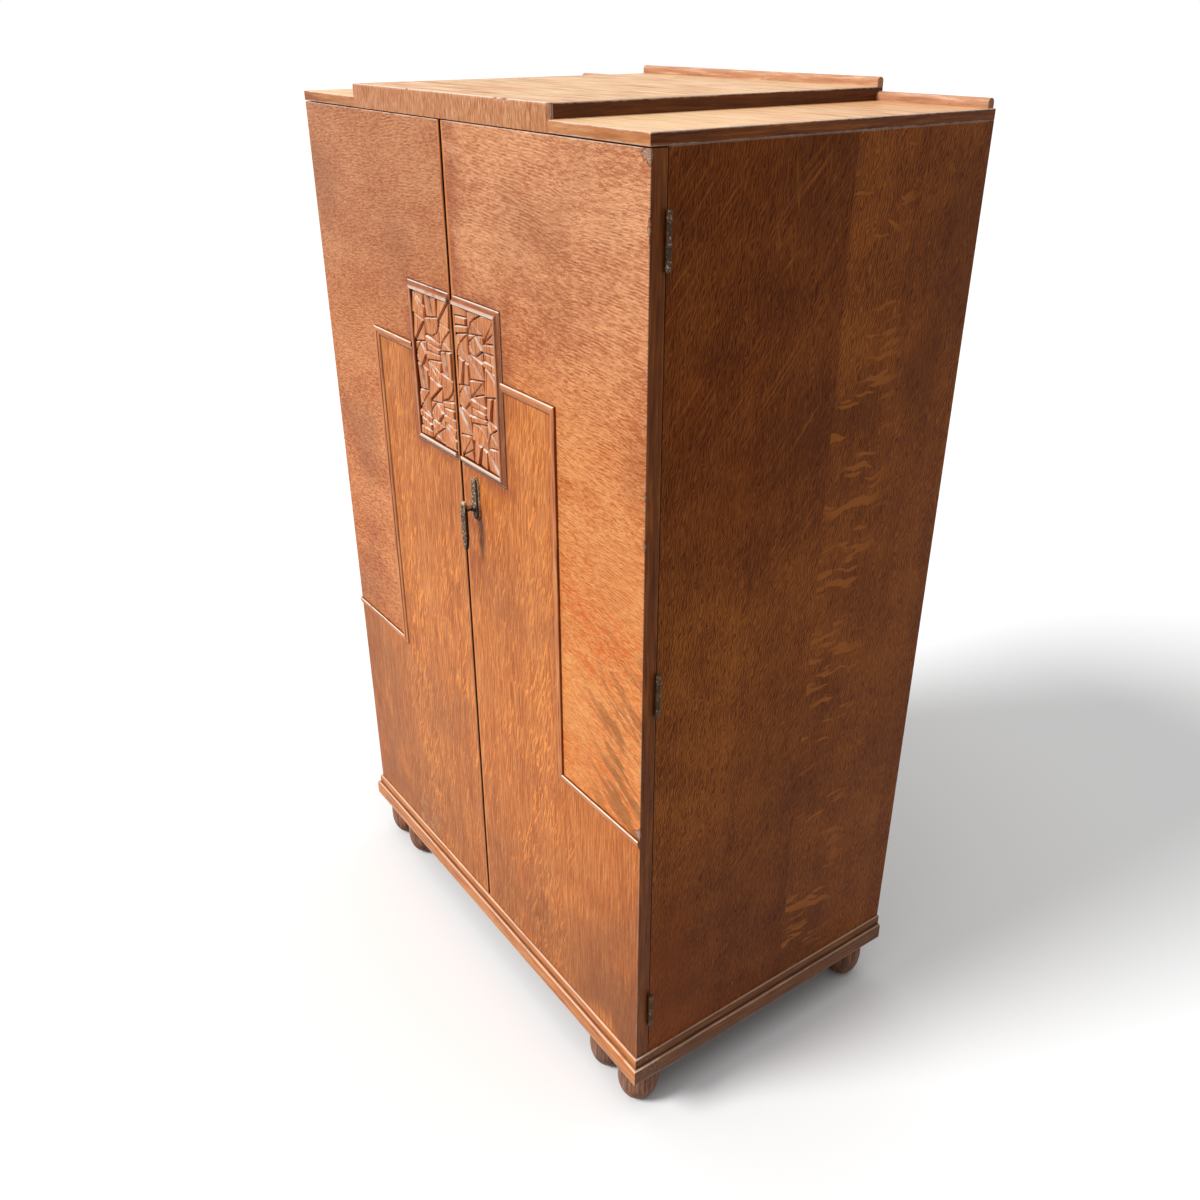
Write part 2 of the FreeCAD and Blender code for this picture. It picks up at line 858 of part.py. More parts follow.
def lever_outline(drawn_in):
    """Lever: round at the top, fullest below the spindle, tapered to a blunt tip."""
    top = lever_top_width / 2 - drawn_in
    wide = lever_width / 2 - drawn_in
    tip = lever_tip_width / 2 - drawn_in / 2
    x, z = handle_offset, spindle_z
    shoulder = z + lever_rise - lever_top_width / 2
    tip_z = z - lever_drop + drawn_in
    return [
        (x - top, shoulder),
        ((x, shoulder + top), (x + top, shoulder)),
        (x + wide, z - lever_shoulder_drop),
        (x + wide, tip_z + lever_taper),
        (x + tip, tip_z),
        (x - tip, tip_z),
        (x - wide, tip_z + lever_taper),
        (x - wide, z - lever_shoulder_drop),
    ]


def handle_lever():
    """Flat bar with a bevelled front, holed for the spindle's neck."""
    lever_back = front - lever_standoff
    shoulder = lever_back - lever_thickness + lever_bevel
    face = lever_back - lever_thickness
    body = facing_prism(lever_outline(0), shoulder, lever_back)
    rings = [
        outline(lever_outline(drawn_in), lambda p, y=y: Vec(p[0], y, p[1]))
        for drawn_in, y in ((0, shoulder), (lever_bevel, face))
    ]
    bevel = Part.makeLoft(rings, True, True)
    hole = bar(
        spindle_neck_diameter,
        Vec(handle_offset, face, spindle_z),
        Vec(handle_offset, lever_back, spindle_z),
    )
    return body.fuse(bevel).cut(hole).removeSplitter()


def latch_tongue():
    """Flat tongue on the spindle, hanging down. A quarter turn puts it behind the left door."""
    radius = tongue_width / 2
    x, z = handle_offset, spindle_z
    reach = handle_offset + meeting + tongue_overlap
    tip = z - reach + radius
    steps = [
        (x - radius, z),
        ((x, z + radius), (x + radius, z)),
        (x + radius, tip),
        ((x, tip - radius), (x - radius, tip)),
    ]
    tongue = facing_prism(steps, tongue_front, tongue_back)
    return tongue.cut(
        bar(spindle_diameter, Vec(x, tongue_front, z), Vec(x, tongue_back, z))
    )


def latch_keeper():
    """Wear plate on the back of the left door, under the turned tongue."""
    return box(
        -panel_edge - keeper_width,
        -panel_edge,
        door_back,
        door_back + keeper_thickness,
        spindle_z - keeper_height / 2,
        spindle_z + keeper_height / 2,
    )


def barrel_bolt(tip, direction):
    """Withdrawn bolt and its guide. Direction is 1 for the bolt that shoots up, -1 for the other."""
    def at(distance):
        return Vec(-bolt_offset, bolt_y, tip - direction * distance)
    rod = bar(bolt_diameter, at(0), at(bolt_length))
    rod = rod.makeChamfer(
        bolt_tip_chamfer,
        [edge for edge in rod.Edges if edge.Closed and near(edge.CenterOfMass.z, tip)],
    )
    near_end = bolt_guide_setback
    far_end = near_end + guide_plate_length
    plate_face = door_back + guide_plate_thickness
    plate = box(
        -bolt_offset - guide_plate_width / 2,
        -bolt_offset + guide_plate_width / 2,
        door_back,
        plate_face,
        *sorted((at(near_end).z, at(far_end).z)),
    )
    wall = bolt_diameter / 2 + guide_wall
    x0, x1 = -bolt_offset - wall, -bolt_offset + wall
    arch = [
        (x0, plate_face),
        (x0, bolt_y),
        ((-bolt_offset, bolt_y + wall), (x1, bolt_y)),
        (x1, plate_face),
    ]
    bridges = [
        upright_prism(arch, *sorted((at(start).z, at(start + guide_bridge_length).z)))
        for start in (near_end, far_end - guide_bridge_length)
    ]
    bore = bar(bolt_diameter + 2 * bolt_clearance, at(0), at(bolt_length))
    guide = plate.fuse(bridges).cut(bore).removeSplitter()
    knob_at = at(far_end - guide_bridge_length - bolt_knob_gap - bolt_knob_diameter / 2)
    knob = bar(bolt_knob_diameter, knob_at, knob_at + BACKWARD * (bolt_diameter / 2 + bolt_knob_length))
    return rod.fuse(knob).removeSplitter(), guide


pieces = {}

# Case and shelves
pieces["side_panel_right"] = side_panel()
pieces["side_panel_left"] = mirrored(pieces["side_panel_right"])
pieces["case_bottom"] = case_bottom()
pieces["top_rail_front"] = top_rail_front()
pieces["top_rail_back"] = top_rail_back()
pieces["back_panel"] = back_panel()
for level, shelf_z in shelf_bottoms().items():
    pieces["shelf_" + level] = shelf(shelf_z)
pieces["shelf_bearers_right"] = shelf_bearers()
pieces["shelf_bearers_left"] = mirrored(pieces["shelf_bearers_right"])

# Top
pieces["top_board"] = top_board()
pieces["raised_top"] = raised_top()
pieces["raised_fascia"] = raised_fascia()
pieces["ledge_right"] = ledge(raised_half, half - ledge_end_inset, board_top)
pieces["ledge_left"] = mirrored(pieces["ledge_right"])
pieces["ledge_centre"] = ledge(-raised_half, raised_half, raised_top_level)

# Base
pieces["plinth_front"] = plinth_front()
pieces["plinth_right"] = plinth_right()
pieces["plinth_left"] = mirrored(pieces["plinth_right"])
pieces["plinth_back"] = plinth_back()
pieces["foot_blocks"] = foot_blocks()
for foot_name, foot_place in foot_places().items():
    pieces[foot_name] = foot().translated(foot_place)

# Doors, with what both have
door_beads = beads()
right_panel = door_panel()
pieces["door_panel_right"] = right_panel.cut(spindle_hole())
pieces["door_panel_left"] = mirrored(right_panel)
pieces["door_lipping_right"] = door_lipping()
pieces["door_lipping_left"] = mirrored(pieces["door_lipping_right"])
for bead_name, bead in door_beads.items():
    pieces["bead_" + bead_name + "_right"] = bead
    pieces["bead_" + bead_name + "_left"] = mirrored(bead)
pieces["carving_frame_right"] = carving_frame()
pieces["carving_frame_left"] = mirrored(pieces["carving_frame_right"])
pieces["carved_panel_right"] = carved_panel(turned=False)
pieces["carved_panel_left"] = mirrored(carved_panel(turned=True))

# Hinges
for part_name, part in (
    ("hinge_case_leaves", case_leaves()),
    ("hinge_door_leaves", door_leaves()),
    ("hinge_pins", hinge_pins()),
):
    pieces[part_name + "_right"] = part
    pieces[part_name + "_left"] = mirrored(part)

# Handle and fastenings
pieces["handle_plate"] = handle_plate()
pieces["handle_spindle"] = handle_spindle()
pieces["handle_lever"] = handle_lever()
pieces["latch_tongue"] = latch_tongue()
pieces["latch_keeper"] = latch_keeper()
pieces["bolt_upper"], pieces["bolt_guide_upper"] = barrel_bolt(rail_face - bolt_end_gap, 1)
pieces["bolt_lower"], pieces["bolt_guide_lower"] = barrel_bolt(bottom_face + bolt_end_gap, -1)

os.makedirs("parts", exist_ok=True)
for piece_name, piece in pieces.items():
    piece.exportStep("parts/" + piece_name + ".step")
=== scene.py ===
import math
from functools import reduce

import bmesh
import bpy
import numpy as np
from bpy.props import FloatProperty, FloatVectorProperty, IntProperty, PointerProperty
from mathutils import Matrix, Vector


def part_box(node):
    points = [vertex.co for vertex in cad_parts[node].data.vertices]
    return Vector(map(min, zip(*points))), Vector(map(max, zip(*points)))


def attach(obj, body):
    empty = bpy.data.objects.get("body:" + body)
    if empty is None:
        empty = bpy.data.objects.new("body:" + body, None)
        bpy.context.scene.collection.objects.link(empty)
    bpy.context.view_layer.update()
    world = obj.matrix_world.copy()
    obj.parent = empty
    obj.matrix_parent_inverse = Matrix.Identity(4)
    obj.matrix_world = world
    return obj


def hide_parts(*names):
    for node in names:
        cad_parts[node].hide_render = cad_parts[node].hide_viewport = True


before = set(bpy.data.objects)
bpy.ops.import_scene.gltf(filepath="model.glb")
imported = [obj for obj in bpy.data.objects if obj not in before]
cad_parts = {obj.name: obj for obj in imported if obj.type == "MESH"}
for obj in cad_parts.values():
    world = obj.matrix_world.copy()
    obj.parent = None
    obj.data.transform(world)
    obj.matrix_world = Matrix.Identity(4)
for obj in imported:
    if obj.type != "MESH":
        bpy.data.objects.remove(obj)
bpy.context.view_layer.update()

bl_info = {
    "name": "Linen Cupboard",
    "version": (1, 0, 0),
    "blender": (4, 5, 0),
    "location": "View3D > Sidebar > Cupboard",
    "description": "Dresses the two-door oak linen cupboard in its finishes and stage",
    "category": "Object",
}

# Lengths are in metres. X runs from left to right, Y from the front to the back and Z up from the floor.
MM = 0.001
LEFT, OUT, UP, DOWN = np.array([[-1.0, 0, 0], [0, -1.0, 0], [0, 0, 1.0], [0, 0, -1.0]])
SIDES = (("right", 1.0), ("left", -1.0))


def span(node):
    """Lowest and highest corner of a CAD node, as arrays."""
    low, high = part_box(node)
    return np.array(low), np.array(high)


# Places read from the frame
DOOR_LOW, DOOR_HIGH = span("door_panel_right")
LIPPING_LOW, _ = span("door_lipping_right")
SIDE_LOW, SIDE_HIGH = span("side_panel_right")
BOARD_LOW, BOARD_HIGH = span("top_board")
FASCIA_LOW, FASCIA_HIGH = span("raised_fascia")
PLINTH_LOW, PLINTH_HIGH = span("plinth_front")
SIDE_PLINTH_LOW, SIDE_PLINTH_HIGH = span("plinth_right")
FRAME_LOW, FRAME_HIGH = span("carving_frame_right")
CARVING_LOW, CARVING_HIGH = span("carved_panel_right")
UPPER_BEAD_LOW, UPPER_BEAD_HIGH = span("bead_upper_right")
_, LOWER_BEAD_HIGH = span("bead_lower_right")
PLATE_LOW, PLATE_HIGH = span("handle_plate")
LEVER_LOW, LEVER_HIGH = span("handle_lever")
SPINDLE_LOW, SPINDLE_HIGH = span("handle_spindle")
FRONT = DOOR_LOW[1]
HALF = DOOR_HIGH[0]
RAISED_HALF = FASCIA_HIGH[0]


def linear(*display):
    """Scene colour of an 8-bit display colour: the inverse of the display's transfer curve."""
    value = np.array(display) / 255
    return tuple(np.where(value > 0.04045, ((value + 0.055) / 1.055) ** 2.4, value / 12.92))


def three_tones(*display):
    """Dark, middle and light scene colour of a finish, each from a display colour."""
    return tuple(linear(*colour) for colour in display)


def tint(name, about, *display):
    """Colour property whose default is written as a display colour."""
    return FloatVectorProperty(
        name=name, description=about, subtype="COLOR", size=3, min=0, max=1, default=linear(*display)
    )


def length(name, about, millimetres):
    """Length property whose default is written in millimetres."""
    return FloatProperty(
        name=name, description=about, unit="LENGTH", subtype="DISTANCE", default=millimetres * MM
    )


class CupboardOak(bpy.types.PropertyGroup):
    """Colours of the oak and of its wear"""

    front_dark: tint("Front dark", "Late wood of the door fronts", 154, 73, 26)
    front_middle: tint("Front", "Common tone of the door fronts", 209, 119, 55)
    front_light: tint("Front light", "Early wood of the door fronts", 234, 155, 90)
    side_dark: tint("Side dark", "Late wood of the sides", 98, 42, 10)
    side_middle: tint("Side", "Common tone of the sides", 148, 75, 25)
    side_light: tint("Side light", "Early wood of the sides", 178, 102, 46)
    top_dark: tint("Top dark", "Late wood of the top boards", 188, 134, 84)
    top_middle: tint("Top", "Common tone of the faded top boards", 222, 177, 128)
    top_light: tint("Top light", "Early wood of the top boards", 240, 206, 166)
    edge: tint("Board edge", "Darkened edges of the boards", 138, 74, 30)
    inside_dark: tint("Inside dark", "Late wood of the inside", 138, 92, 56)
    inside_middle: tint("Inside", "Unpolished wood of the inside", 176, 128, 84)
    inside_light: tint("Inside light", "Early wood of the inside", 200, 156, 110)
    foot_dark: tint("Foot dark", "Worn dark polish on the feet", 72, 34, 16)
    foot_middle: tint("Foot", "Common tone of the feet", 138, 74, 38)
    foot_light: tint("Foot light", "Rubbed wood of the feet", 186, 118, 72)
    faded: tint("Faded veneer", "Veneer bleached by light high on the doors", 248, 190, 150)
    stain: tint("Stain", "Dark clouds in the old polish", 150, 88, 54)
    fleck: tint("Ray fleck", "Pale rays across the grain", 252, 157, 77)
    # Also the colour of painted highlights on edges and arrises that face the light.
    rubbed: tint("Rubbed polish", "Raised edges where the polish is rubbed through", 252, 238, 222)
    bare: tint("Bare wood", "Greyed wood in chips", 178, 152, 136)
    # Also the colour of painted shade in hollows, creases, under parts and on faces turned from the light.
    grime: tint("Grime", "Dark polish and painted shade in hollows", 58, 26, 12)
    inner_dark: tint("Inner dark", "Late wood of the doors' inner fields", 174, 90, 38)
    outer_dark: tint("Outer dark", "Hollows of the doors' outer fields", 176, 82, 32)
    outer_light: tint("Outer light", "Ridges of the doors' outer fields", 246, 165, 102)
    faded_dark: tint("Faded dark", "Hollows of the bleached veneer", 196, 130, 94)
    sunned_dark: tint("Sunned dark", "Hollows of the right door's warmer veneer", 236, 118, 48)
    sunned_light: tint("Sunned light", "Ridges of the right door's warmer veneer", 255, 180, 106)
    flame: tint("Flame", "Dark flames in the right door's low corner", 146, 90, 44)
    handled: tint("Handled polish", "Red polish where hands reach the doors", 152, 68, 32)
    # Darker tone towards the foot of the doors.
    door_foot_tone: tint("Floor dirt", "Darker tone at the foot of the doors", 112, 66, 38)
    scuff: tint("Scuff", "Pale scuffs at the foot of the left door", 206, 166, 138)
    lipping: tint("Lipping", "Warm strip on the right door's meeting edge", 240, 148, 84)
    # Painted shade in the gap between the doors.
    gap_shade: tint("Gap dirt", "Painted shade between the doors", 28, 12, 6)
    side_red: tint("Side red", "Red polish towards the front of the sides", 172, 82, 24)
    lit_dark: tint("Lit dark", "Late wood where the sides are golden", 126, 60, 20)
    lit_light: tint("Lit light", "Early wood where the sides are golden", 216, 128, 58)
    ray: tint("Side ray", "Golden rays and scratches of the sides", 214, 126, 58)
    scored: tint("Scored top", "Brown streaks of the top boards", 168, 98, 52)
    wing_light: tint("Wing light", "Pale front part of the top's wings", 255, 214, 166)
    wing_brown: tint("Wing brown", "Browner back part of the top's wings", 206, 142, 84)
    top_handled: tint("Handled top", "Dirt along the ends of the top boards", 150, 92, 46)
    raised_end: tint("Raised end", "Dark ends of the raised top", 66, 42, 20)
    pin: tint("Pin", "Pin heads in the back", 66, 58, 52)
    carving: tint("Carving", "Common tone of the carvings", 226, 144, 94)
    carving_light: tint("Carving light", "Early wood of the carvings", 242, 174, 124)


class CupboardMetal(bpy.types.PropertyGroup):
    """Colours of the metal fittings"""

    bronze: tint("Bronze", "Dark patina of the handle", 84, 58, 36)
    # Also painted highlights on the handle's top edges and arrises.
    bronze_bright: tint("Bright bronze", "Handle metal rubbed bright", 244, 216, 178)
    steel: tint("Steel", "Aged hinge steel", 82, 62, 46)
    iron: tint("Iron", "Dull latch iron", 84, 80, 76)
    brass: tint("Brass", "Dulled bolt brass", 176, 138, 76)
    rust: tint("Rust", "Rust and old polish on steel", 98, 56, 32)
    # Also painted shade on the handle's right-hand faces and undersides.
    bronze_dirt_and_shade: tint("Bronze dirt", "Dirt in the hollows of the handle, and its painted shade", 30, 17, 9)
    steel_bright: tint("Bright steel", "Hinge steel rubbed bright", 190, 178, 160)
    leaf: tint("Door leaf", "Darker steel of the doors' hinge leaves", 58, 48, 34)
    screw_bright: tint("Bright screw", "Hinge screws rubbed bright", 168, 158, 144)
    iron_bright: tint("Bright iron", "Latch iron rubbed bright", 150, 146, 140)
    brass_bright: tint("Bright brass", "Bolt brass rubbed bright", 222, 192, 120)
    brass_dull: tint("Dull brass", "Tarnish on the bolts", 112, 86, 48)


class CupboardShapes(bpy.types.PropertyGroup):
    """Sizes of the fine shapes"""

    carving_step: length("Carving step", "Distance between points on the carvings", 0.6)
    carving_shoulder: length("Carving shoulder", "Width of the rounded edge of a carved facet", 1.1)
    gouge_depth: length("Gouge depth", "Depth of the tool marks on carved facets", 0.16)
    stipple_depth: length("Stipple depth", "Depth of the punched ground of the carvings", 0.35)
    moulding_step: length("Moulding step", "Distance between points along a moulding", 4.0)
    wear_depth: length("Wear depth", "How far the edges of mouldings are worn down", 0.2)
    dent_depth: length("Hammer dent", "Depth of the hammer marks on the handle", 0.4)
    dent_radius: length("Dent radius", "Radius of the hammer marks on the handle", 2.6)
    screw_radius: length("Screw radius", "Radius of the screw heads", 2.9)
    foot_segments: IntProperty(
        name="Foot segments", description="Points round a turned foot", default=96, min=24
    )


class CupboardStage(bpy.types.PropertyGroup):
    """Camera, floor and light"""

    camera_place: FloatVectorProperty(
        name="Camera place",
        description="Where the camera stands",
        subtype="XYZ",
        unit="LENGTH",
        size=3,
        default=(1.4042, -0.99175, 1.5622),
    )
    camera_turn: FloatVectorProperty(
        name="Camera turn",
        description="Turn of the camera about X, Y and Z",
        subtype="EULER",
        size=3,
        default=tuple(math.radians(angle) for angle in (62.326, 0.124, 54.630)),
    )
    lens: FloatProperty(name="Lens", description="Focal length", default=33.485, unit="CAMERA")
    shift_x: FloatProperty(name="Shift X", description="Sideways shift of the frame", default=-0.0034)
    shift_y: FloatProperty(name="Shift Y", description="Upward shift of the frame", default=0.002)
    key: FloatProperty(name="Key light", description="Strength of the front light", default=2.9)
    key_turn: FloatVectorProperty(
        name="Key turn",
        description="Turn of the front light about X, Y and Z",
        subtype="EULER",
        size=3,
        default=tuple(math.radians(angle) for angle in (50, 0, -16)),
    )
    key_size: FloatProperty(
        name="Key size",
        description="Angle that the front light spans",
        subtype="ANGLE",
        default=math.radians(20),
    )
    overhead: FloatProperty(name="Top light", description="Strength of the light from above", default=0.98)
    overhead_size: FloatProperty(
        name="Top light size",
        description="Angle that the light from above spans",
        subtype="ANGLE",
        default=math.radians(60),
    )
    sky: FloatProperty(name="Sky", description="Strength of the light from all round", default=0.3)
    floor: tint("Floor", "Colour of the floor", 246, 246, 246)
    floor_bounce: tint("Floor bounce", "Floor colour that lights the object", 104, 100, 96)


class CupboardSettings(bpy.types.PropertyGroup):
    """Everything that a user would change"""

    oak: PointerProperty(type=CupboardOak, name="Oak", description="Colours of the oak")
    metal: PointerProperty(type=CupboardMetal, name="Metal", description="Colours of the fittings")
    shapes: PointerProperty(type=CupboardShapes, name="Shapes", description="Sizes of the fine shapes")
    stage: PointerProperty(type=CupboardStage, name="Stage", description="Camera, floor and light")


# Shader building


def maths(operation, other_first=False):
    """Method of a socket that adds a Math node of that operation."""

    def method(self, *others):
        values = (*others, self) if other_first else (self, *others)
        return self.finish.node("ShaderNodeMath", {"operation": operation}, dict(enumerate(values)))

    return method


class Socket:
    """An output socket of a node. Python operators on it add Math nodes."""

    def __init__(self, finish, socket):
        self.finish = finish
        self.socket = socket

    __add__ = maths("ADD")
    __radd__ = maths("ADD", True)
    __sub__ = maths("SUBTRACT")
    __rsub__ = maths("SUBTRACT", True)
    __mul__ = maths("MULTIPLY")
    __rmul__ = maths("MULTIPLY", True)
    __truediv__ = maths("DIVIDE")
    __mod__ = maths("FLOORED_MODULO")
    __abs__ = maths("ABSOLUTE")
    least = maths("MINIMUM")
    most = maths("MAXIMUM")


class Finish:
    """A material under construction: its nodes, its place socket and its shader."""

    def __init__(self, name):
        self.material = bpy.data.materials.new(name)
        self.material.use_nodes = True
        self.tree = self.material.node_tree
        self.shader = self.tree.nodes["Principled BSDF"]
        self.place = self.node("ShaderNodeTexCoord", {}, {}, "Object")
        self.x, self.y, self.z = self.parts(self.place)

    def node(self, kind, settings, inputs, output=0):
        """A node of that kind: its settings are set first, then its sockets are filled or linked."""
        made = self.tree.nodes.new(kind)
        for name, value in settings.items():
            setattr(made, name, value)
        for key, value in inputs.items():
            self.fill(made.inputs[key], value)
        return Socket(self, made.outputs[output])

    def fill(self, socket, value):
        """Link a socket, or set it to a plain value."""
        if isinstance(value, Socket):
            self.tree.links.new(value.socket, socket)
        elif socket.type == "RGBA":
            socket.default_value = (*value, 1.0)
        else:
            socket.default_value = value

    def parts(self, vector):
        """X, Y and Z of a vector."""
        first = self.node("ShaderNodeSeparateXYZ", {}, {0: vector})
        return [Socket(self, output) for output in first.socket.node.outputs]

    def vector(self, x, y, z):
        """Vector of three values."""
        return self.node("ShaderNodeCombineXYZ", {}, {0: x, 1: y, 2: z})

    def noise(self, vector, detail=2.0, roughness=0.5, distortion=0.0):
        """Smooth random values round a half, one feature to each unit of the vector."""
        return self.node(
            "ShaderNodeTexNoise",
            {"noise_dimensions": "3D"},
            {
                "Vector": vector,
                "Scale": 1.0,
                "Detail": detail,
                "Roughness": roughness,
                "Distortion": distortion,
            },
        )

    def clouds(self, size, detail=2.0):
        """Noise in Object coordinates whose features are about that size."""
        scaled = self.node(
            "ShaderNodeVectorMath", {"operation": "SCALE"}, {0: self.place, "Scale": 1 / size}
        )
        return self.noise(scaled, detail)

    def rise(self, value, low, high):
        """0 up to low, 1 from high, smooth between; the other way round where low is above high."""
        return self.node(
            "ShaderNodeMapRange",
            {"interpolation_type": "SMOOTHSTEP"},
            {0: value, 1: low, 2: high, 3: 0.0, 4: 1.0},
        )

    def mix(self, factor, first, second):
        """Colour between first and second."""
        return self.node("ShaderNodeMix", {"data_type": "RGBA"}, {0: factor, 6: first, 7: second}, 2)

    def attribute(self, name, output="Fac"):
        """Attribute of a piece's own mesh, 0 on meshes without it."""
        return self.node("ShaderNodeAttribute", {"attribute_name": name}, {}, output)

    def shade(self, colour, roughness, height, depth, **constants):
        """Finish the shader: colour, roughness and bump vary, and the constants are set on its sockets."""
        self.fill(self.shader.inputs["Base Color"], colour)
        self.fill(self.shader.inputs["Roughness"], roughness)
        bump = self.node("ShaderNodeBump", {}, {"Strength": 1.0, "Distance": depth, "Height": height})
        self.fill(self.shader.inputs["Normal"], bump)
        for name, value in constants.items():
            self.fill(self.shader.inputs[name.replace("_", " ")], value)
        return self.material


POLISH = {"Specular_IOR_Level": 0.14}
DULL_POLISH = {"Specular_IOR_Level": 0.06}

# Dark, middle and light tone of the mouldings, the top's edges and the plinth
# The beads' tones are lighter than the door fronts', painted light for their slopes that face down.
BEAD_TONES = three_tones((168, 86, 38), (218, 130, 68), (240, 166, 104))
FRAME_TONES = three_tones((132, 60, 30), (194, 110, 66), (222, 150, 104))
FASCIA_TONES = three_tones((176, 104, 62), (206, 138, 92), (228, 172, 128))
LEDGE_TONES = three_tones((150, 98, 68), (194, 142, 108), (230, 190, 158))
TOP_FRONT_TONES = three_tones((166, 96, 54), (208, 138, 88), (234, 174, 124))
PLINTH_TONES = three_tones((158, 84, 34), (210, 126, 62), (238, 166, 98))
SIDE_PLINTH_TONES = three_tones((92, 48, 16), (142, 82, 36), (180, 116, 62))


class Oak:
    """Plain oak figure on a grain frame of run, across and through, all in metres.

    Broad bands and fine fibres are noise stretched along the run, on an across that a slow noise bends.
    Pores are short, thin peaks of a finer noise.
    """

    def __init__(self, finish, run, across, through, seed, fibre=4.0 * MM, long=0.07):
        self.finish = finish
        bend = finish.noise(finish.vector(run / 0.4, across / 0.12, through / 0.12 + seed), 2.0) - 0.5
        self.run = run
        self.across = across + bend * 0.03
        self.through = through + seed
        self.bands = self.streak(1.1, 26 * MM, 3.0)
        self.fibres = self.streak(long, fibre, 3.0)
        self.pores = finish.rise(self.streak(14 * MM, 1.0 * MM, 1.0), 0.56, 0.72)

    def streak(self, long, wide, detail):
        """Noise drawn out along the run, with features that long and wide."""
        finish = self.finish
        return finish.noise(
            finish.vector(self.run / long, self.across / wide, self.through / wide), detail, 0.55
        )

    def rays(self, slant, long, wide, low, high):
        """Pale flecks: peaks of a noise on a frame that leans from the run by the slant."""
        finish = self.finish
        leaned = self.across - self.run * slant
        wave = finish.noise(
            finish.vector(self.run / long, leaned / wide, self.through / wide + 7), 1.0, 0.5, 0.6
        )
        return finish.rise(wave, low, high)

    def colour(self, dark, middle, light, contrast=1.0, banding=0.8):
        """Colour of the bands and fibres, from dark through middle to light, with dark pores."""
        finish = self.finish
        tone = ((self.bands - 0.5) * banding + (self.fibres - 0.5) * 2.6) * contrast
        body = finish.mix(finish.rise(tone, -0.42, 0.02), dark, middle)
        body = finish.mix(finish.rise(tone, 0.0, 0.42), body, light)
        return finish.mix(self.pores * 0.4, body, dark)

    def height(self):
        """Height of the surface: raised fibres and sunk pores."""
        return self.fibres * 0.6 - self.pores


def edge_band(finish, edges, width):
    """1 on the given edges, falling to 0 at a ragged width from them.

    An edge is a pair of distances from the two planes that meet there; the larger of the two counts.
    """
    ragged = finish.clouds(9 * MM, 3.0) * finish.clouds(45 * MM, 2.0) * 4
    nearest = reduce(Socket.least, [abs(first).most(abs(second)) for first, second in edges])
    return finish.rise(nearest / (ragged * width + 0.1 * MM), 1.0, 0.35)


# Chips on the outer edges of the doors: side, lowest and highest point, and reach on to the front
DOOR_CHIPS = (
    (1, 1.352, 1.381, 3.2 * MM),
    (1, 1.424, 1.456, 14 * MM),
    (1, 1.062, 1.076, 2.6 * MM),
    (1, 0.993, 1.018, 2.2 * MM),
    (1, 0.560, 0.584, 8.0 * MM),
    (-1, 0.694, 0.716, 5.0 * MM),
)


def inner_field(finish, oak, leaf, right):
    """Upright veneer inside the bead lines, with leaning orange flecks: its colour and its height."""
    x = abs(finish.x)
    upright = Oak(finish, finish.z, finish.x, leaf, 1.3, 2.2 * MM, 0.06)
    contrast = 1.05 - right * 0.17
    colour = upright.colour(oak.inner_dark, oak.front_middle, oak.front_light, contrast)
    drawn = upright.rays(0.2, 44 * MM, 3.4 * MM, 0.625, 0.665)
    ticks = upright.rays(0.38, 36 * MM, 4.0 * MM, 0.6, 0.64)
    clusters = finish.rise(finish.clouds(0.13, 2.0), 0.42, 0.56)
    figured = 1 - finish.rise(x, 0.22, 0.32) * 0.75
    column = finish.rise(abs(x - 0.2), 0.06, 0.02) * finish.rise(finish.clouds(0.07, 2.0), 0.38, 0.5)
    waved = upright.rays(0.3, 30 * MM, 4.5 * MM, 0.59, 0.63) * column
    flecks = (drawn * 0.85).most(ticks * clusters).most(waved) * figured
    return finish.mix(flecks, colour, oak.fleck), upright.height() + flecks * 0.5


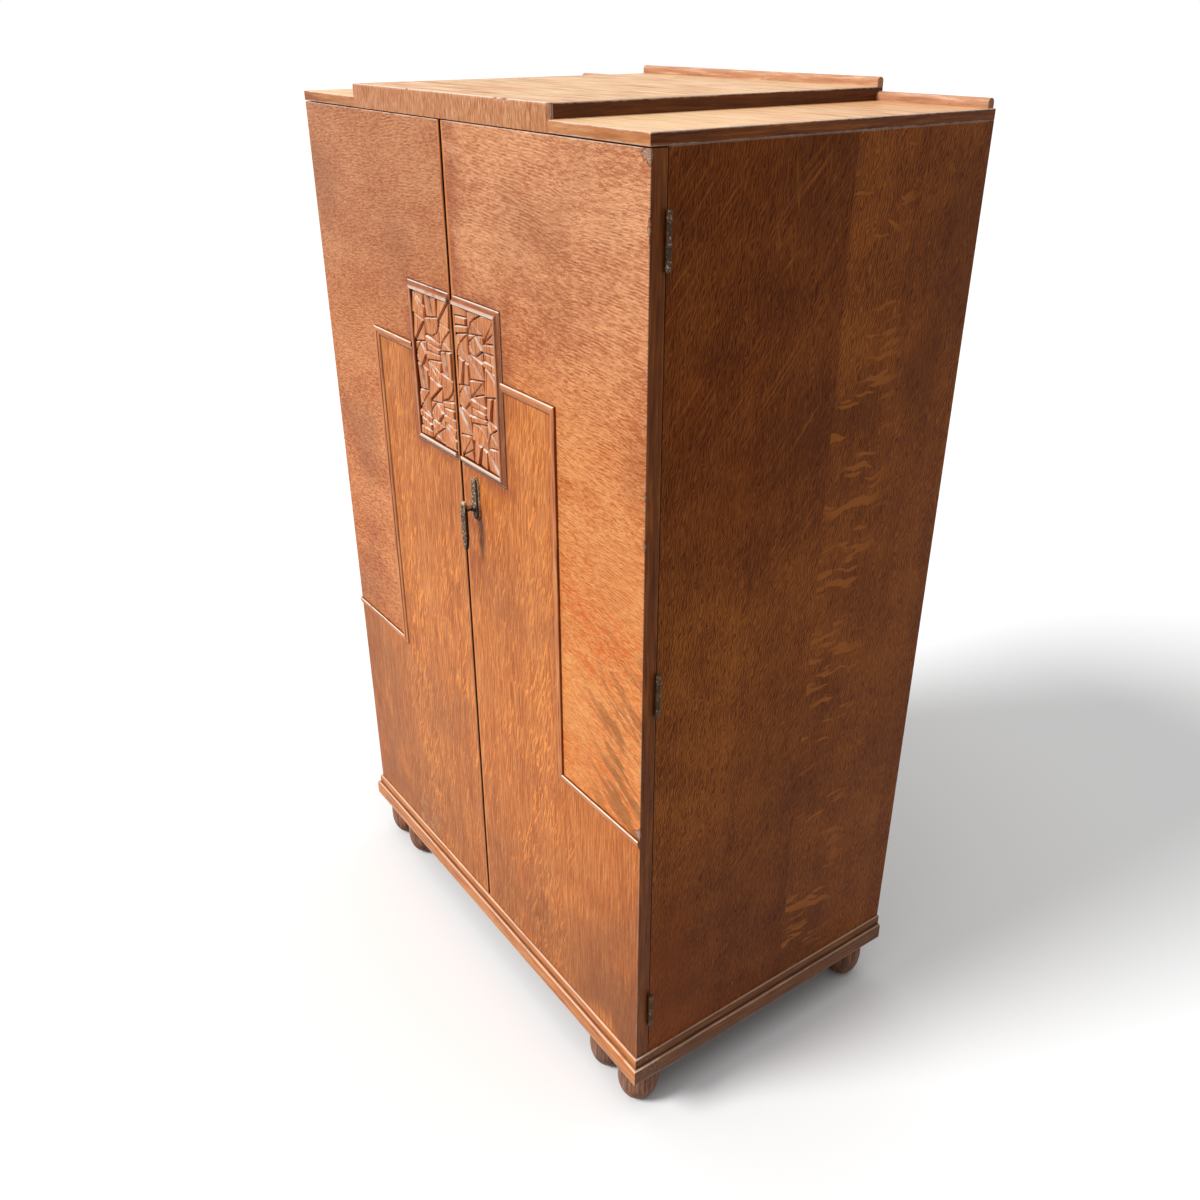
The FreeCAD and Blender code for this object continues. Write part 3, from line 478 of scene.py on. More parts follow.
def outer_field(finish, oak, leaf, right):
    """Level veneer outside the bead lines: its colour and its height.

    Fine winding ridges, ruled nearly level in places, lie over level dashes and drifts. The veneer is
    bleached high up and warmer low on the right door, with dark flames in that door's low corner.
    """
    x, z = abs(finish.x), finish.z
    wave = finish.noise(finish.vector(x / 0.22, leaf, z / 0.11), 3.0, 0.5)
    level = (z + x * 0.08) / (4.1 * MM) + wave * 4.2
    ruled = finish.rise(finish.clouds(0.2, 1.0), 0.42, 0.62)
    tangle = finish.noise(finish.vector(x / (10 * MM), leaf + 8, z / (6.5 * MM)), 2.0, 0.5)
    phase = level + tangle * (4.4 - ruled * 3.6)
    broken = finish.rise(finish.noise(finish.vector(x / 0.03, leaf + 2, z / (12 * MM)), 2.0), 0.3, 0.65)
    ridges = (abs(phase % 1.0 - 0.5) * 4 - 1) * (0.1 + broken)
    dashes = finish.noise(finish.vector(x / (11 * MM), leaf + 5, (z + x * 0.06) / (2.8 * MM)), 2.0, 0.7)
    drifts = finish.noise(finish.vector(x / 0.17, leaf, z / 0.06 + wave * 2), 3.0, 0.55)
    tone = ridges * (0.36 + ruled * 0.06) + (dashes - 0.5) * 3.4 + (drifts - 0.5) * 1.6
    share = finish.rise(tone, -1.0, 1.0)
    colour = finish.mix(share, oak.outer_dark, oak.outer_light)
    slashes = Oak(finish, x, z, leaf, 2.7).rays(-0.22, 34 * MM, 4 * MM, 0.65, 0.7)
    slashes = slashes * finish.rise(finish.clouds(0.17, 1.0), 0.44, 0.56)
    colour = finish.mix(slashes * 0.5, colour, oak.fleck)
    pits = finish.noise(finish.vector(x / (15 * MM), leaf + 9, (z - x * 0.1) / (3.4 * MM)), 1.0)
    colour = finish.mix(finish.rise(pits, 0.68, 0.73) * 0.6, colour, oak.front_dark)
    faded = finish.rise(z, 1.02, 1.4) * (0.3 + right * 0.2)
    colour = finish.mix(faded, colour, finish.mix(share, oak.faded_dark, oak.faded))
    sunned = right * finish.rise(z, 1.25, 0.75) * 0.75
    colour = finish.mix(sunned, colour, finish.mix(share, oak.sunned_dark, oak.sunned_light))
    flames = finish.noise(finish.vector(x / 0.075, leaf, (z + x * 0.5) / 0.019), 3.0, 0.6)
    low_corner = right * finish.rise(x, 0.28, 0.4) * finish.rise(z, 1.0, 0.66)
    flames = finish.rise(flames, 0.5, 0.62) * low_corner
    return finish.mix(flames * 0.7, colour, oak.flame), tone


def stained(finish, oak, colour, right, from_frame):
    """Colour under old polish: broad clouds, a darker left door and handled places.

    Hands reach round the carvings, by the handle and down the right door's meeting edge.
    """
    x, z = abs(finish.x), finish.z
    patches = finish.clouds(0.24, 4.0)
    colour = finish.mix(finish.rise(patches, 0.5, 0.7) * (0.45 - right * 0.15), colour, oak.stain)
    colour = finish.mix(finish.rise(patches, 0.48, 0.3) * 0.25, colour, oak.front_light)
    shaded = (1 - right) * finish.rise(z, 0.8, 1.35) * 0.34
    colour = finish.mix(shaded, colour, oak.stain)
    hand_at, hand_tall, hand_wide = 0.87, 0.14, 0.1
    by_handle = right * finish.rise(abs(z - hand_at) / hand_tall + x / hand_wide, 1.4, 0.5)
    by_opening = right * finish.rise(x, 60 * MM, 15 * MM) * finish.rise(z, 0.95, 1.1)
    handled = finish.rise(from_frame, 26 * MM, 0.0).most(by_handle).most(by_opening)
    handled = handled * finish.rise(finish.clouds(0.04), 0.3, 0.65)
    return finish.mix(handled * 0.6, colour, oak.handled)


def moulding_hollows_and_shade(finish, within, from_frame, right):
    """1 in the hollows along the beads and the carving's frame: dark polish with painted shade, darker
    beside the left door's upright bead than beside the right door's.
    """
    x = abs(finish.x)
    beside_bead = finish.rise(abs(within + 0.6 * MM), 1.3 * MM, 0.6 * MM)
    on_upright = finish.rise(abs(x - UPPER_BEAD_HIGH[0]), 4 * MM, 2 * MM)
    beside_bead = beside_bead * (0.35 + on_upright * (0.6 - right * 0.65))
    bead_foot = 13.6 * MM
    beside_bead = beside_bead.most(finish.rise(abs(within - bead_foot), 1.3 * MM, 0.5 * MM) * 0.7)
    return beside_bead.most(finish.rise(from_frame, 2.2 * MM, 0.8 * MM))


def darker_low_and_scuffed(finish, oak, colour, right):
    """Colour darker towards the foot of the doors, with pale scuffs from the floor.

    It is darker along the foot of both doors, up the left door's outer part and in the right door's low
    corner, and pale scuffs lie at the left door's foot.
    """
    x, z = abs(finish.x), finish.z
    by_foot = finish.rise(z, 0.5, 0.18) * 0.38
    by_foot = by_foot + right * finish.rise(x, 0.24, 0.42) * finish.rise(z, 0.56, 0.2) * 0.3
    outer_left = (1 - right) * finish.rise(x, 0.14, 0.36) * finish.rise(z, 0.66, 0.46) * 0.4
    darkening = by_foot.most(outer_left) * finish.rise(finish.clouds(0.09, 3.0), 0.2, 0.55)
    colour = finish.mix(darkening, colour, oak.door_foot_tone)
    scuffs = (1 - right) * finish.rise(abs(x - 0.24), 0.05, 0.02) * finish.rise(z, 0.22, 0.16)
    scuffs = scuffs * finish.rise(finish.clouds(0.022, 3.0), 0.44, 0.62)
    return finish.mix(scuffs * 0.5, colour, oak.scuff)


def chip_reach(finish):
    """Distance from the nearest chip on the doors' outer edges, in shares of its size, made ragged."""
    ragged = finish.clouds(9 * MM, 2.0) * 1.5
    face = finish.y - FRONT
    reaches = []
    for sign, low, high, deep in DOOR_CHIPS:
        beyond = abs(finish.z - (low + high) / 2) / ((high - low) / 2)
        inward = ((HALF - finish.x * sign) / deep).most(face / (3 * MM))
        reaches.append(beyond + inward * 0.7 + ragged)
    return reduce(Socket.least, reaches)


def door_finish(oak):
    """Oak of the doors: veneer laid level on the outer field and upright on the inner, on a dark core."""
    finish = Finish("door_oak")
    x, y, z = abs(finish.x), finish.y, finish.z
    right = finish.rise(finish.x, -0.001, 0.001)
    # Each door takes its figure from another depth of the noise.
    leaf = y + right * 3.7

    # The inner field lies inside the bead line, and all across below the lower bead.
    within = (UPPER_BEAD_HIGH[2] - z).least(UPPER_BEAD_HIGH[0] - x).most(LOWER_BEAD_HIGH[2] - z)
    inner = finish.rise(within, 0.0, MM)
    inner_colour, inner_tone = inner_field(finish, oak, leaf, right)
    outer_colour, outer_tone = outer_field(finish, oak, leaf, right)
    colour = finish.mix(inner, outer_colour, inner_colour)

    from_frame = ((x - FRAME_HIGH[0]) * 0.55).most(z - FRAME_HIGH[2]).most(FRAME_LOW[2] - z)
    colour = stained(finish, oak, colour, right, from_frame)
    # Dark polish with painted shade in the hollows by the beads and the carving's frame.
    hollows = moulding_hollows_and_shade(finish, within, from_frame, right)
    colour = finish.mix(hollows * 0.9, colour, oak.grime)
    colour = darker_low_and_scuffed(finish, oak, colour, right)

    core = finish.rise(y, FRONT + 0.9 * MM, FRONT + 1.6 * MM)
    core_colour = Oak(finish, z, y, x, 4.1).colour(oak.side_dark, oak.edge, oak.side_light, 0.7)
    colour = finish.mix(core, colour, core_colour)
    back = finish.rise(y, DOOR_HIGH[1] - 0.6 * MM, DOOR_HIGH[1] - 0.3 * MM)
    back_colour = Oak(finish, z, x, y, 6.6).colour(oak.inside_dark, oak.inside_middle, oak.inside_light)
    colour = finish.mix(back, colour, back_colour)

    face = y - FRONT
    # Rubbed polish along the outer edges, and rubbed polish with a painted highlight along the top edge.
    rub = edge_band(finish, [(x - HALF, face)], 1.2 * MM) * 0.18
    rub = rub.most(edge_band(finish, [(z - DOOR_HIGH[2], face)], 1.3 * MM) * 0.5)
    colour = finish.mix(rub, colour, oak.rubbed)
    reach = chip_reach(finish)
    chips = finish.rise(reach, 1.6, 1.45)
    chip_rim = finish.rise(reach, 1.85, 1.68)
    colour = finish.mix(chip_rim * 0.8, colour, oak.front_dark)
    chip_colour = finish.mix(finish.rise(finish.clouds(4 * MM, 2.0), 0.5, 0.65), oak.bare, oak.foot_light)
    colour = finish.mix(chips, colour, chip_colour)

    tone = (outer_tone * (1 - inner) * 1.5 + inner_tone * inner) * (1 - core)
    roughness = 0.44 - tone * 0.06 + chips * 0.3
    return finish.shade(colour, roughness, tone - chips * 2 - hollows, 0.28 * MM, **POLISH)


def lipping_finish(oak):
    """Straight-grained oak of the strips on the doors' meeting edges, with painted shade in the gap."""
    finish = Finish("lipping_oak")
    strip = Oak(finish, finish.z, finish.x, finish.y, 2.2)
    colour = strip.colour(oak.front_dark, oak.front_middle, oak.front_light, 0.7)
    face = finish.y - FRONT
    left = finish.rise(finish.x, 0.001, -0.001)
    colour = finish.mix((1 - left) * 0.4, colour, oak.lipping)
    # Painted shade: the left strip darkens along its meeting edge, and both strips darken on their faces
    # inside the gap.
    at_edge = finish.rise(abs(finish.x) - LIPPING_LOW[0], 3.0 * MM, 1.6 * MM) * left
    back = finish.rise(finish.y, DOOR_HIGH[1] - 0.6 * MM, DOOR_HIGH[1] - 0.3 * MM)
    sunk = finish.rise(face, 0.1 * MM, 0.5 * MM).most(at_edge * 0.8) * (1 - back)
    colour = finish.mix(sunk, colour, oak.gap_shade)
    return finish.shade(colour, 0.46 - strip.fibres * 0.1, strip.height(), 0.12 * MM, **POLISH)


def side_rays(finish, grain, rear, seam):
    """Share of golden rays on the sides.

    Wavy level ribbons lie behind the seam, upright strokes all over and fine slanted scratches before it.
    """
    x, y, z = finish.x, finish.y, finish.z
    sway = finish.noise(finish.vector(x, y / 0.035, z / 0.12), 1.0)
    winding = finish.noise(finish.vector(x + 4, y / 0.065, (z + sway * 0.022) / 0.012), 1.0)
    by_seam = finish.rise(y, seam + 0.14, seam + 0.07) * rear
    clusters = finish.rise(finish.noise(finish.vector(x, y / 0.2, z / 0.08)), 0.44, 0.52)
    ribbons = finish.rise(winding, 0.57, 0.61) * clusters * by_seam
    strokes = grain.rays(-0.1, 50 * MM, 4.5 * MM, 0.66, 0.7)
    strokes = strokes * finish.rise(finish.clouds(0.22), 0.46, 0.58)
    scratches = grain.rays(0.85, 65 * MM, 2.4 * MM, 0.62, 0.67)
    scratches = scratches * finish.rise(finish.clouds(0.17), 0.4, 0.54)
    return (ribbons * 0.75).most(strokes * 0.3).most(scratches * 0.5 * (1 - rear))


def side_finish(oak):
    """Dark upright oak of the sides: two leaves of veneer that meet behind the middle, with golden rays."""
    finish = Finish("side_oak")
    x, y, z = finish.x, finish.y, finish.z
    seam = (SIDE_LOW[1] + SIDE_HIGH[1]) / 2 + 18 * MM
    rear = finish.rise(y + (finish.clouds(0.2) - 0.5) * 4 * MM, seam, seam + 1.5 * MM)
    grain = Oak(finish, z, y, x + rear * 2.9, 8.4, 2.2 * MM, 0.013)
    dark, middle, light = oak.side_dark, oak.side_middle, oak.side_light
    drifts = finish.clouds(0.06, 3.0)
    tangle = finish.noise(finish.vector(x + 6, y / (9 * MM), z / (20 * MM)), 1.0)
    ridges = abs(((y - z * 0.22) / (4.0 * MM) + tangle * 3.4) % 1.0 - 0.5) * 4 - 1
    tone = (grain.bands - 0.5) * 0.6 + (grain.fibres - 0.5) * 1.9 + (drifts - 0.5) * 1.05 + ridges * 0.45
    colour = finish.mix(finish.rise(tone, -0.6, 0.05), dark, middle)
    colour = finish.mix(finish.rise(tone, 0.0, 0.6), colour, light)
    red = finish.rise(y, SIDE_LOW[1] + 0.2, SIDE_LOW[1] + 0.03) * finish.rise(finish.clouds(0.3), 0.35, 0.6)
    colour = finish.mix(red * 0.45, colour, oak.side_red)
    lit = rear * (0.43 + finish.rise(z, 0.6, 1.3) * finish.rise(y, seam + 0.12, seam) * 0.4)
    half_way = finish.rise(z, 0.3, 0.6) * finish.rise(z, 1.06, 0.84)
    half_way = half_way * (0.45 + finish.rise(y, 0.0, -0.14) * 0.4)
    lit = lit.most(half_way + half_way * finish.rise(finish.clouds(0.3, 2.0), 0.35, 0.6) * 0.4)
    lit_colour = finish.mix(finish.rise(tone, -0.7, 0.7), oak.lit_dark, oak.lit_light)
    colour = finish.mix(lit, colour, lit_colour)
    patches = finish.clouds(0.21, 3.0)
    colour = finish.mix(finish.rise(patches, 0.48, 0.68) * (0.42 - half_way * 0.5), colour, dark)
    colour = finish.mix(side_rays(finish, grain, rear, seam), colour, oak.ray)

    inside = finish.rise(abs(x), SIDE_LOW[0] + 0.6 * MM, SIDE_LOW[0] + 0.3 * MM)
    inside_colour = Oak(finish, z, y, x, 3.3).colour(oak.inside_dark, oak.inside_middle, oak.inside_light)
    colour = finish.mix(inside, colour, inside_colour)
    from_edge = (y - SIDE_LOW[1]).least(SIDE_HIGH[1] - y)
    edge = finish.rise(from_edge, 0.6 * MM, 0.3 * MM)
    edge_colour = Oak(finish, z, x, y, 7.7, 2.5 * MM).colour(oak.side_dark, oak.edge, oak.side_light, 0.7)
    colour = finish.mix(edge, colour, edge_colour)
    # Rubbed polish and painted highlight along the top edge.
    rub = edge_band(finish, [(abs(x) - HALF, z - SIDE_HIGH[2])], 1.0 * MM)
    colour = finish.mix(rub * 0.3, colour, oak.rubbed)
    height = grain.height() * (1 - edge)
    return finish.shade(colour, 0.42 - grain.fibres * 0.08, height, 0.16 * MM, **DULL_POLISH)


def top_finish(oak):
    """Faded oak of the top boards, grain from left to right, with darker ends and reddish fronts."""
    finish = Finish("top_oak")
    x, y, z = finish.x, finish.y, finish.z
    grain = Oak(finish, x, y, z, 5.2, 9 * MM, 0.13)
    colour = grain.colour(oak.top_dark, oak.top_middle, oak.top_light, 0.9, 0.3)
    fine = grain.streak(0.045, 1.5 * MM, 2.0)
    colour = finish.mix(finish.rise(fine, 0.5, 0.68) * 0.4, colour, oak.top_dark)
    colour = finish.mix(finish.rise(fine, 0.5, 0.32) * 0.4, colour, oak.top_light)
    scored = finish.rise(grain.streak(0.12, 10 * MM, 1.0), 0.57, 0.63)
    scored = scored * finish.rise(finish.clouds(0.16), 0.36, 0.56)
    colour = finish.mix(scored * 0.75, colour, oak.scored)
    worn = finish.clouds(0.14, 3.0)
    colour = finish.mix(finish.rise(worn, 0.5, 0.7) * 0.25, colour, oak.front_middle)

    raised = finish.rise(z, BOARD_HIGH[2], BOARD_HIGH[2] + 0.5 * MM)
    colour = finish.mix((1 - raised) * finish.rise(y, 0.15, -0.1) * 0.4, colour, oak.wing_light)
    colour = finish.mix((1 - raised) * finish.rise(y, -0.05, 0.25) * 0.4, colour, oak.wing_brown)
    front_colour = grain.colour(*TOP_FRONT_TONES, 0.8)
    colour = finish.mix(finish.rise(y, FRONT + 1.4 * MM, FRONT + 0.6 * MM), colour, front_colour)
    end_at = HALF - raised * (HALF - RAISED_HALF)
    from_end = end_at - abs(x)
    handled = finish.rise(from_end, 22 * MM, 2 * MM) * finish.rise(finish.clouds(0.05, 3.0), 0.4, 0.65)
    colour = finish.mix(handled * 0.5, colour, oak.top_handled)
    ends = finish.rise(from_end, 1.2 * MM, 0.4 * MM)
    end_colour = Oak(finish, y, z, x, 9.1).colour(oak.side_dark, oak.edge, oak.side_light, 0.9)
    end_colour = finish.mix(raised * 0.65, end_colour, oak.raised_end)
    colour = finish.mix(ends, colour, end_colour)

    face = y - FRONT
    over = [z - BOARD_HIGH[2], z - FASCIA_HIGH[2]]
    edges = [(over[0], face), (over[0], abs(x) - HALF), (over[1], abs(x) - RAISED_HALF)]
    edges += [(z - BOARD_LOW[2], face), (z - BOARD_LOW[2], abs(x) - HALF)]
    # Rubbed polish and painted highlight along the boards' edges.
    rub = edge_band(finish, edges, 1.8 * MM)
    colour = finish.mix(rub * 0.5, colour, oak.rubbed)
    return finish.shade(colour, 0.5 - grain.fibres * 0.1, grain.height(), 0.2 * MM, **POLISH)


def plain_finish(name, tones, along, contrast=0.8, roughness=0.5):
    """Plain oak in three tones with its grain along an axis."""
    finish = Finish(name)
    axes = {"x": finish.x, "y": finish.y, "z": finish.z}
    run = axes.pop(along)
    across, through = axes.values()
    grain = Oak(finish, run, across, through, len(name) * 0.7)
    colour = grain.colour(*tones, contrast)
    patches = finish.clouds(0.22, 3.0)
    colour = finish.mix(finish.rise(patches, 0.5, 0.75) * 0.3, colour, tones[0])
    return finish.shade(colour, roughness - grain.fibres * 0.1, grain.height(), 0.12 * MM, **POLISH)


def worked_finish(
    name,
    oak,
    tones,
    rub_strength=0.8,
    roughness=0.46,
    contrast=0.7,
    return_tones=None,
    fibre=4.0 * MM,
    long=0.07,
    banding=0.8,
):
    """Oak of a shaped piece: its mesh carries the grain frame, the rubbed edges with painted highlights,
    dark polish with painted shade, and the chips.

    Return tones, where given, colour the ends of a front board, beyond its mitres.
    """
    finish = Finish(name)
    run, across, through = finish.parts(finish.attribute("grain", "Vector"))
    grain = Oak(finish, run, across, through, len(name) * 0.9, fibre, long)
    colour = grain.colour(*tones, contrast, banding)
    patches = finish.clouds(0.12, 3.0)
    colour = finish.mix(finish.rise(patches, 0.5, 0.74) * 0.3, colour, tones[0])
    if return_tones:
        beyond = finish.rise(abs(finish.x) - HALF + finish.y - FRONT, 0.0, 0.4 * MM)
        colour = finish.mix(beyond, colour, grain.colour(*return_tones, contrast))
    # Dark polish in hollows and painted shade, from the mesh's layer.
    grime = finish.attribute("grime")
    colour = finish.mix(grime * (0.55 + finish.clouds(0.02) * 0.5), colour, oak.grime)
    # Rubbed polish and painted highlights, from the mesh's layer, broken up by noise.
    ragged = finish.clouds(12 * MM, 3.0) + finish.clouds(60 * MM, 2.0) - 0.5
    rub = finish.attribute("rub") * finish.rise(ragged, 0.0, 0.42)
    colour = finish.mix(rub * rub_strength, colour, oak.rubbed)
    chip = finish.attribute("chip")
    colour = finish.mix(chip, colour, finish.mix(finish.clouds(3 * MM), oak.bare, oak.foot_middle))
    height = grain.height() - grime * 0.6
    return finish.shade(colour, roughness - grain.fibres * 0.1 + chip * 0.3, height, 0.12 * MM, **POLISH)


def back_finish(oak):
    """Thin plywood back with upright grain and a row of pin heads along each side."""
    finish = Finish("back_board")
    x, z = finish.x, finish.z
    grain = Oak(finish, z, x, finish.y, 11.0, 4 * MM)
    colour = grain.colour(oak.inside_dark, oak.inside_middle, oak.inside_light, 0.9)
    patches = finish.clouds(0.3, 4.0)
    colour = finish.mix(finish.rise(patches, 0.48, 0.7) * 0.45, colour, oak.inside_dark)
    pitch = 0.12
    up = abs(z % pitch - pitch / 2)
    beside = abs(abs(x) - SIDE_LOW[0] - 4 * MM)
    pins = finish.rise(up.most(beside), 2.0 * MM, 1.5 * MM)
    colour = finish.mix(pins * 0.85, colour, oak.pin)
    return finish.shade(colour, 0.68 - grain.fibres * 0.1, grain.height() - pins, 0.15 * MM, **POLISH)


def metal_finish(name, colour, bright, tarnish, roughness, metallic=0.8, speckled=0.0):
    """Old metal: rubbed bright with painted highlights on the high parts, tarnished in clouds, with
    speckles where asked for, and painted shade in the tarnish colour where the mesh's layer asks.
    """
    finish = Finish(name)
    clouds = finish.clouds(6 * MM, 4.0)
    fine = finish.clouds(2.6 * MM, 2.0)
    body = finish.mix(finish.rise(clouds, 0.46, 0.68), colour, tarnish)
    rub = finish.attribute("rub") * finish.rise(fine + clouds, 0.7, 1.1)
    rub = rub.most(finish.rise(fine, 0.6, 0.64) * speckled)
    # Painted shade from the mesh's layer takes the highlight away and turns the metal to the tarnish
    # colour.
    rub = rub * (1 - finish.attribute("grime"))
    body = finish.mix(rub, body, bright)
    body = finish.mix(finish.attribute("grime") * 0.9, body, tarnish)
    varied = roughness + clouds * 0.25 - rub * 0.2
    shine = {"Metallic": metallic, "Specular_IOR_Level": 0.2}
    return finish.shade(body, varied, fine + clouds, 0.18 * MM, **shine)


# Surface building


def grid_faces(rows, columns, closed):
    """Quads over rows of points. Where closed, the last column joins the first."""
    row, column = np.meshgrid(
        np.arange(rows - 1), np.arange(columns if closed else columns - 1), indexing="ij"
    )
    beside = (column + 1) % columns
    corners = (row * columns + column, row * columns + beside)
    opposite = ((row + 1) * columns + beside, (row + 1) * columns + column)
    return np.stack([*corners, *opposite], -1).reshape(-1, 4).tolist()


class Solid:
    """Vertices, faces and per-vertex layers of one closed surface."""

    def __init__(self, points, faces, **layers):
        self.points = points.reshape(-1, 3)
        self.faces = faces
        self.layers = {
            name: np.broadcast_to(values, points.shape[:-1] + np.shape(values)[2:]).reshape(
                len(self.points), -1
            )
            for name, values in layers.items()
        }

    def mirrored(self, sign):
        """The same solid on the side of that sign."""
        self.points = self.points * np.array([sign, 1, 1])
        return self


def tube(points, **layers):
    """Closed solid of rings of points, with the first and the last ring each filled by a flat face."""
    rings, count = points.shape[:2]
    faces = grid_faces(rings, count, True)
    faces.append(list(range(count)))
    faces.append(list(range((rings - 1) * count, rings * count)))
    return Solid(points, faces, **layers)


def relief(points, floor, **layers):
    """Closed solid under a grid of points: its rim is carried straight back to Y = floor and filled."""
    rows, columns = points.shape[:2]
    padded = np.pad(points, ((1, 1), (1, 1), (0, 0)), mode="edge")
    rim = np.ones((rows + 2, columns + 2), bool)
    rim[1:-1, 1:-1] = False
    padded[rim, 1] = floor
    index = np.arange((rows + 2) * (columns + 2)).reshape(rows + 2, columns + 2)
    border = np.concatenate([index[0, :-1], index[:-1, -1], index[-1, :0:-1], index[:0:-1, 0]])
    faces = grid_faces(rows + 2, columns + 2, False)
    faces.append(border.tolist())
    grown = {
        name: np.pad(values, ((1, 1), (1, 1)) + ((0, 0),) * (values.ndim - 2), mode="edge")
        for name, values in layers.items()
    }
    return Solid(padded, faces, **grown)


def make_piece(name, solids, material, body, nodes=(), sharp=40):
    """One mesh at the origin from closed solids: outward faces, smooth but for sharp edges, on its body."""
    mesh = bpy.data.meshes.new(name)
    starts = np.cumsum([0] + [len(solid.points) for solid in solids])
    faces = [
        [corner + start for corner in face]
        for solid, start in zip(solids, starts.tolist())
        for face in solid.faces
    ]
    mesh.from_pydata(np.concatenate([solid.points for solid in solids]).tolist(), [], faces)
    for layer in solids[0].layers:
        values = np.concatenate([solid.layers[layer] for solid in solids]).astype(np.float32)
        kind, field = ("FLOAT_VECTOR", "vector") if values.shape[1] == 3 else ("FLOAT", "value")
        mesh.attributes.new(layer, kind, "POINT").data.foreach_set(field, values.ravel())
    work = bmesh.new()
    work.from_mesh(mesh)
    bmesh.ops.recalc_face_normals(work, faces=work.faces)
    work.to_mesh(mesh)
    work.free()
    mesh.shade_smooth()
    mesh.set_sharp_from_angle(angle=math.radians(sharp))
    mesh.materials.append(material)
    piece = bpy.data.objects.new(name, mesh)
    bpy.context.scene.collection.objects.link(piece)
    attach(piece, body)
    if nodes:
        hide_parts(*nodes)
    return piece


def dress(material, *nodes):
    """Give CAD nodes a finish."""
    for node in nodes:
        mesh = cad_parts[node].data
        mesh.materials.clear()
        mesh.materials.append(material)


def ripple(distance, seed, pitch, waves=5):
    """Irregular wave from -1 to 1 along a distance: a mean of sines of about that pitch."""
    rng = np.random.default_rng(seed)
    rates = 2 * np.pi / pitch * rng.uniform(0.4, 1.8, waves)
    phases = rng.uniform(0, 2 * np.pi, waves)
    return np.sin(distance[..., None] * rates + phases).mean(-1)


def smooth(value):
    """0 below 0 and 1 above 1, with level ends between."""
    clipped = np.clip(value, 0, 1)
    return clipped * clipped * (3 - 2 * clipped)


def arc(start, end, level_first, count=7):
    """Points of a quarter ellipse from start to end, level at its start or at its end."""
    turn = np.linspace(0, np.pi / 2, count)
    run, climb = np.sin(turn), 1 - np.cos(turn)
    if not level_first:
        run, climb = climb, run
    start, end = np.array(start), np.array(end)
    return start + (end - start) * np.stack([run, climb], -1)


def settings():
    """The cupboard's settings on the scene."""
    return bpy.context.scene.linen_cupboard


# Mouldings on the doors


def bead_section(upright):
    """Section of the bead, as inward distance and height, with each point's rubbed polish and painted
    highlight, and its dark polish and painted shade.

    On an upright the arris is little rubbed and takes little painted highlight, and the slope to the inner
    field takes painted shade towards its foot.
    """
    # The wall and the quirk take dark polish with painted shade; the arris takes rubbed polish with painted
    # highlight, less on an upright.
    wall, slope_rub = ((1, 0.7), 0.3) if upright else ((1, 0.9), 0.05)
    arris = 0.3 if upright else 1
    slope_grime = (0.3, 0, 0, 0, 0.1, 0.2, 0.4, 0.8, 1) if upright else (0.6, 0, 0, 0, 0, 0, 0.1, 0.4, 1)
    wide = UPPER_BEAD_HIGH[2] - UPPER_BEAD_LOW[2]
    tall = FRONT - UPPER_BEAD_LOW[1]
    flat, quirk, corner = 7 * MM, 1.3 * MM, 0.9 * MM
    runs = [
        ([[0, 0], [0, tall - 1.6 * corner]], 0, wall),
        (arc((0, tall - corner), (corner, tall), False), arris, 0),
        ([[flat * 0.3, tall], [flat - corner, tall]], (0.1, 0), (0, 0.1)),
        (arc((flat - corner, tall), (flat, tall - corner / 2), True, 4), 0.2, 0.1),
        ([[flat, tall - quirk]], 0, 1),
        (arc((flat + 0.3 * MM, tall - quirk), (wide, 0), True, 9), slope_rub, slope_grime),
    ]
    return gather(runs)


def frame_section(upright):
    """Section of the carving's frame: a lip on the door, a slope up to a flat, and a wall to the carving.

    On an upright the slope takes painted shade all over, most along its two edges. On every run the lip's
    foot and the wall to the carving take painted shade.
    """
    slope_grime = (0.9, 0.5, 0.4, 0.4, 0.6, 1, 0.4) if upright else (0, 0.75, 0.55, 0.5, 0.45, 0.3, 0)
    wide = 12 * MM
    tall = FRONT - FRAME_LOW[1]
    flat, lip, corner = 4.5 * MM, 0.8 * MM, 1.2 * MM
    slope = np.linspace((0.6 * MM, lip), (wide - flat, tall), 7)
    runs = [
        ([[0, 0], [0, lip * 0.6]], (0, 1), (1, 0)),
        (slope, (1, 0.1, 0, 0, 0, 0.1, 0.5), slope_grime),
        ([[wide - flat / 2, tall]], 0.8, 0),
        (arc((wide - corner, tall), (wide, tall - corner), True, 5), (0.9, 1, 1, 0.4, 0), 0),
        ([[wide, tall / 2], [wide, 0]], 0, (0.8, 1)),
    ]
    return gather(runs)


def gather(runs):
    """Runs of section points, each with its rubbed polish and painted highlight and its dark polish and
    painted shade, as one section with one value to each point.
    """
    points = np.concatenate([np.array(run) for run, _, _ in runs])
    rub = np.concatenate([np.broadcast_to(value, len(run)) for run, value, _ in runs])
    grime = np.concatenate([np.broadcast_to(value, len(run)) for run, _, value in runs])
    return points, rub, grime


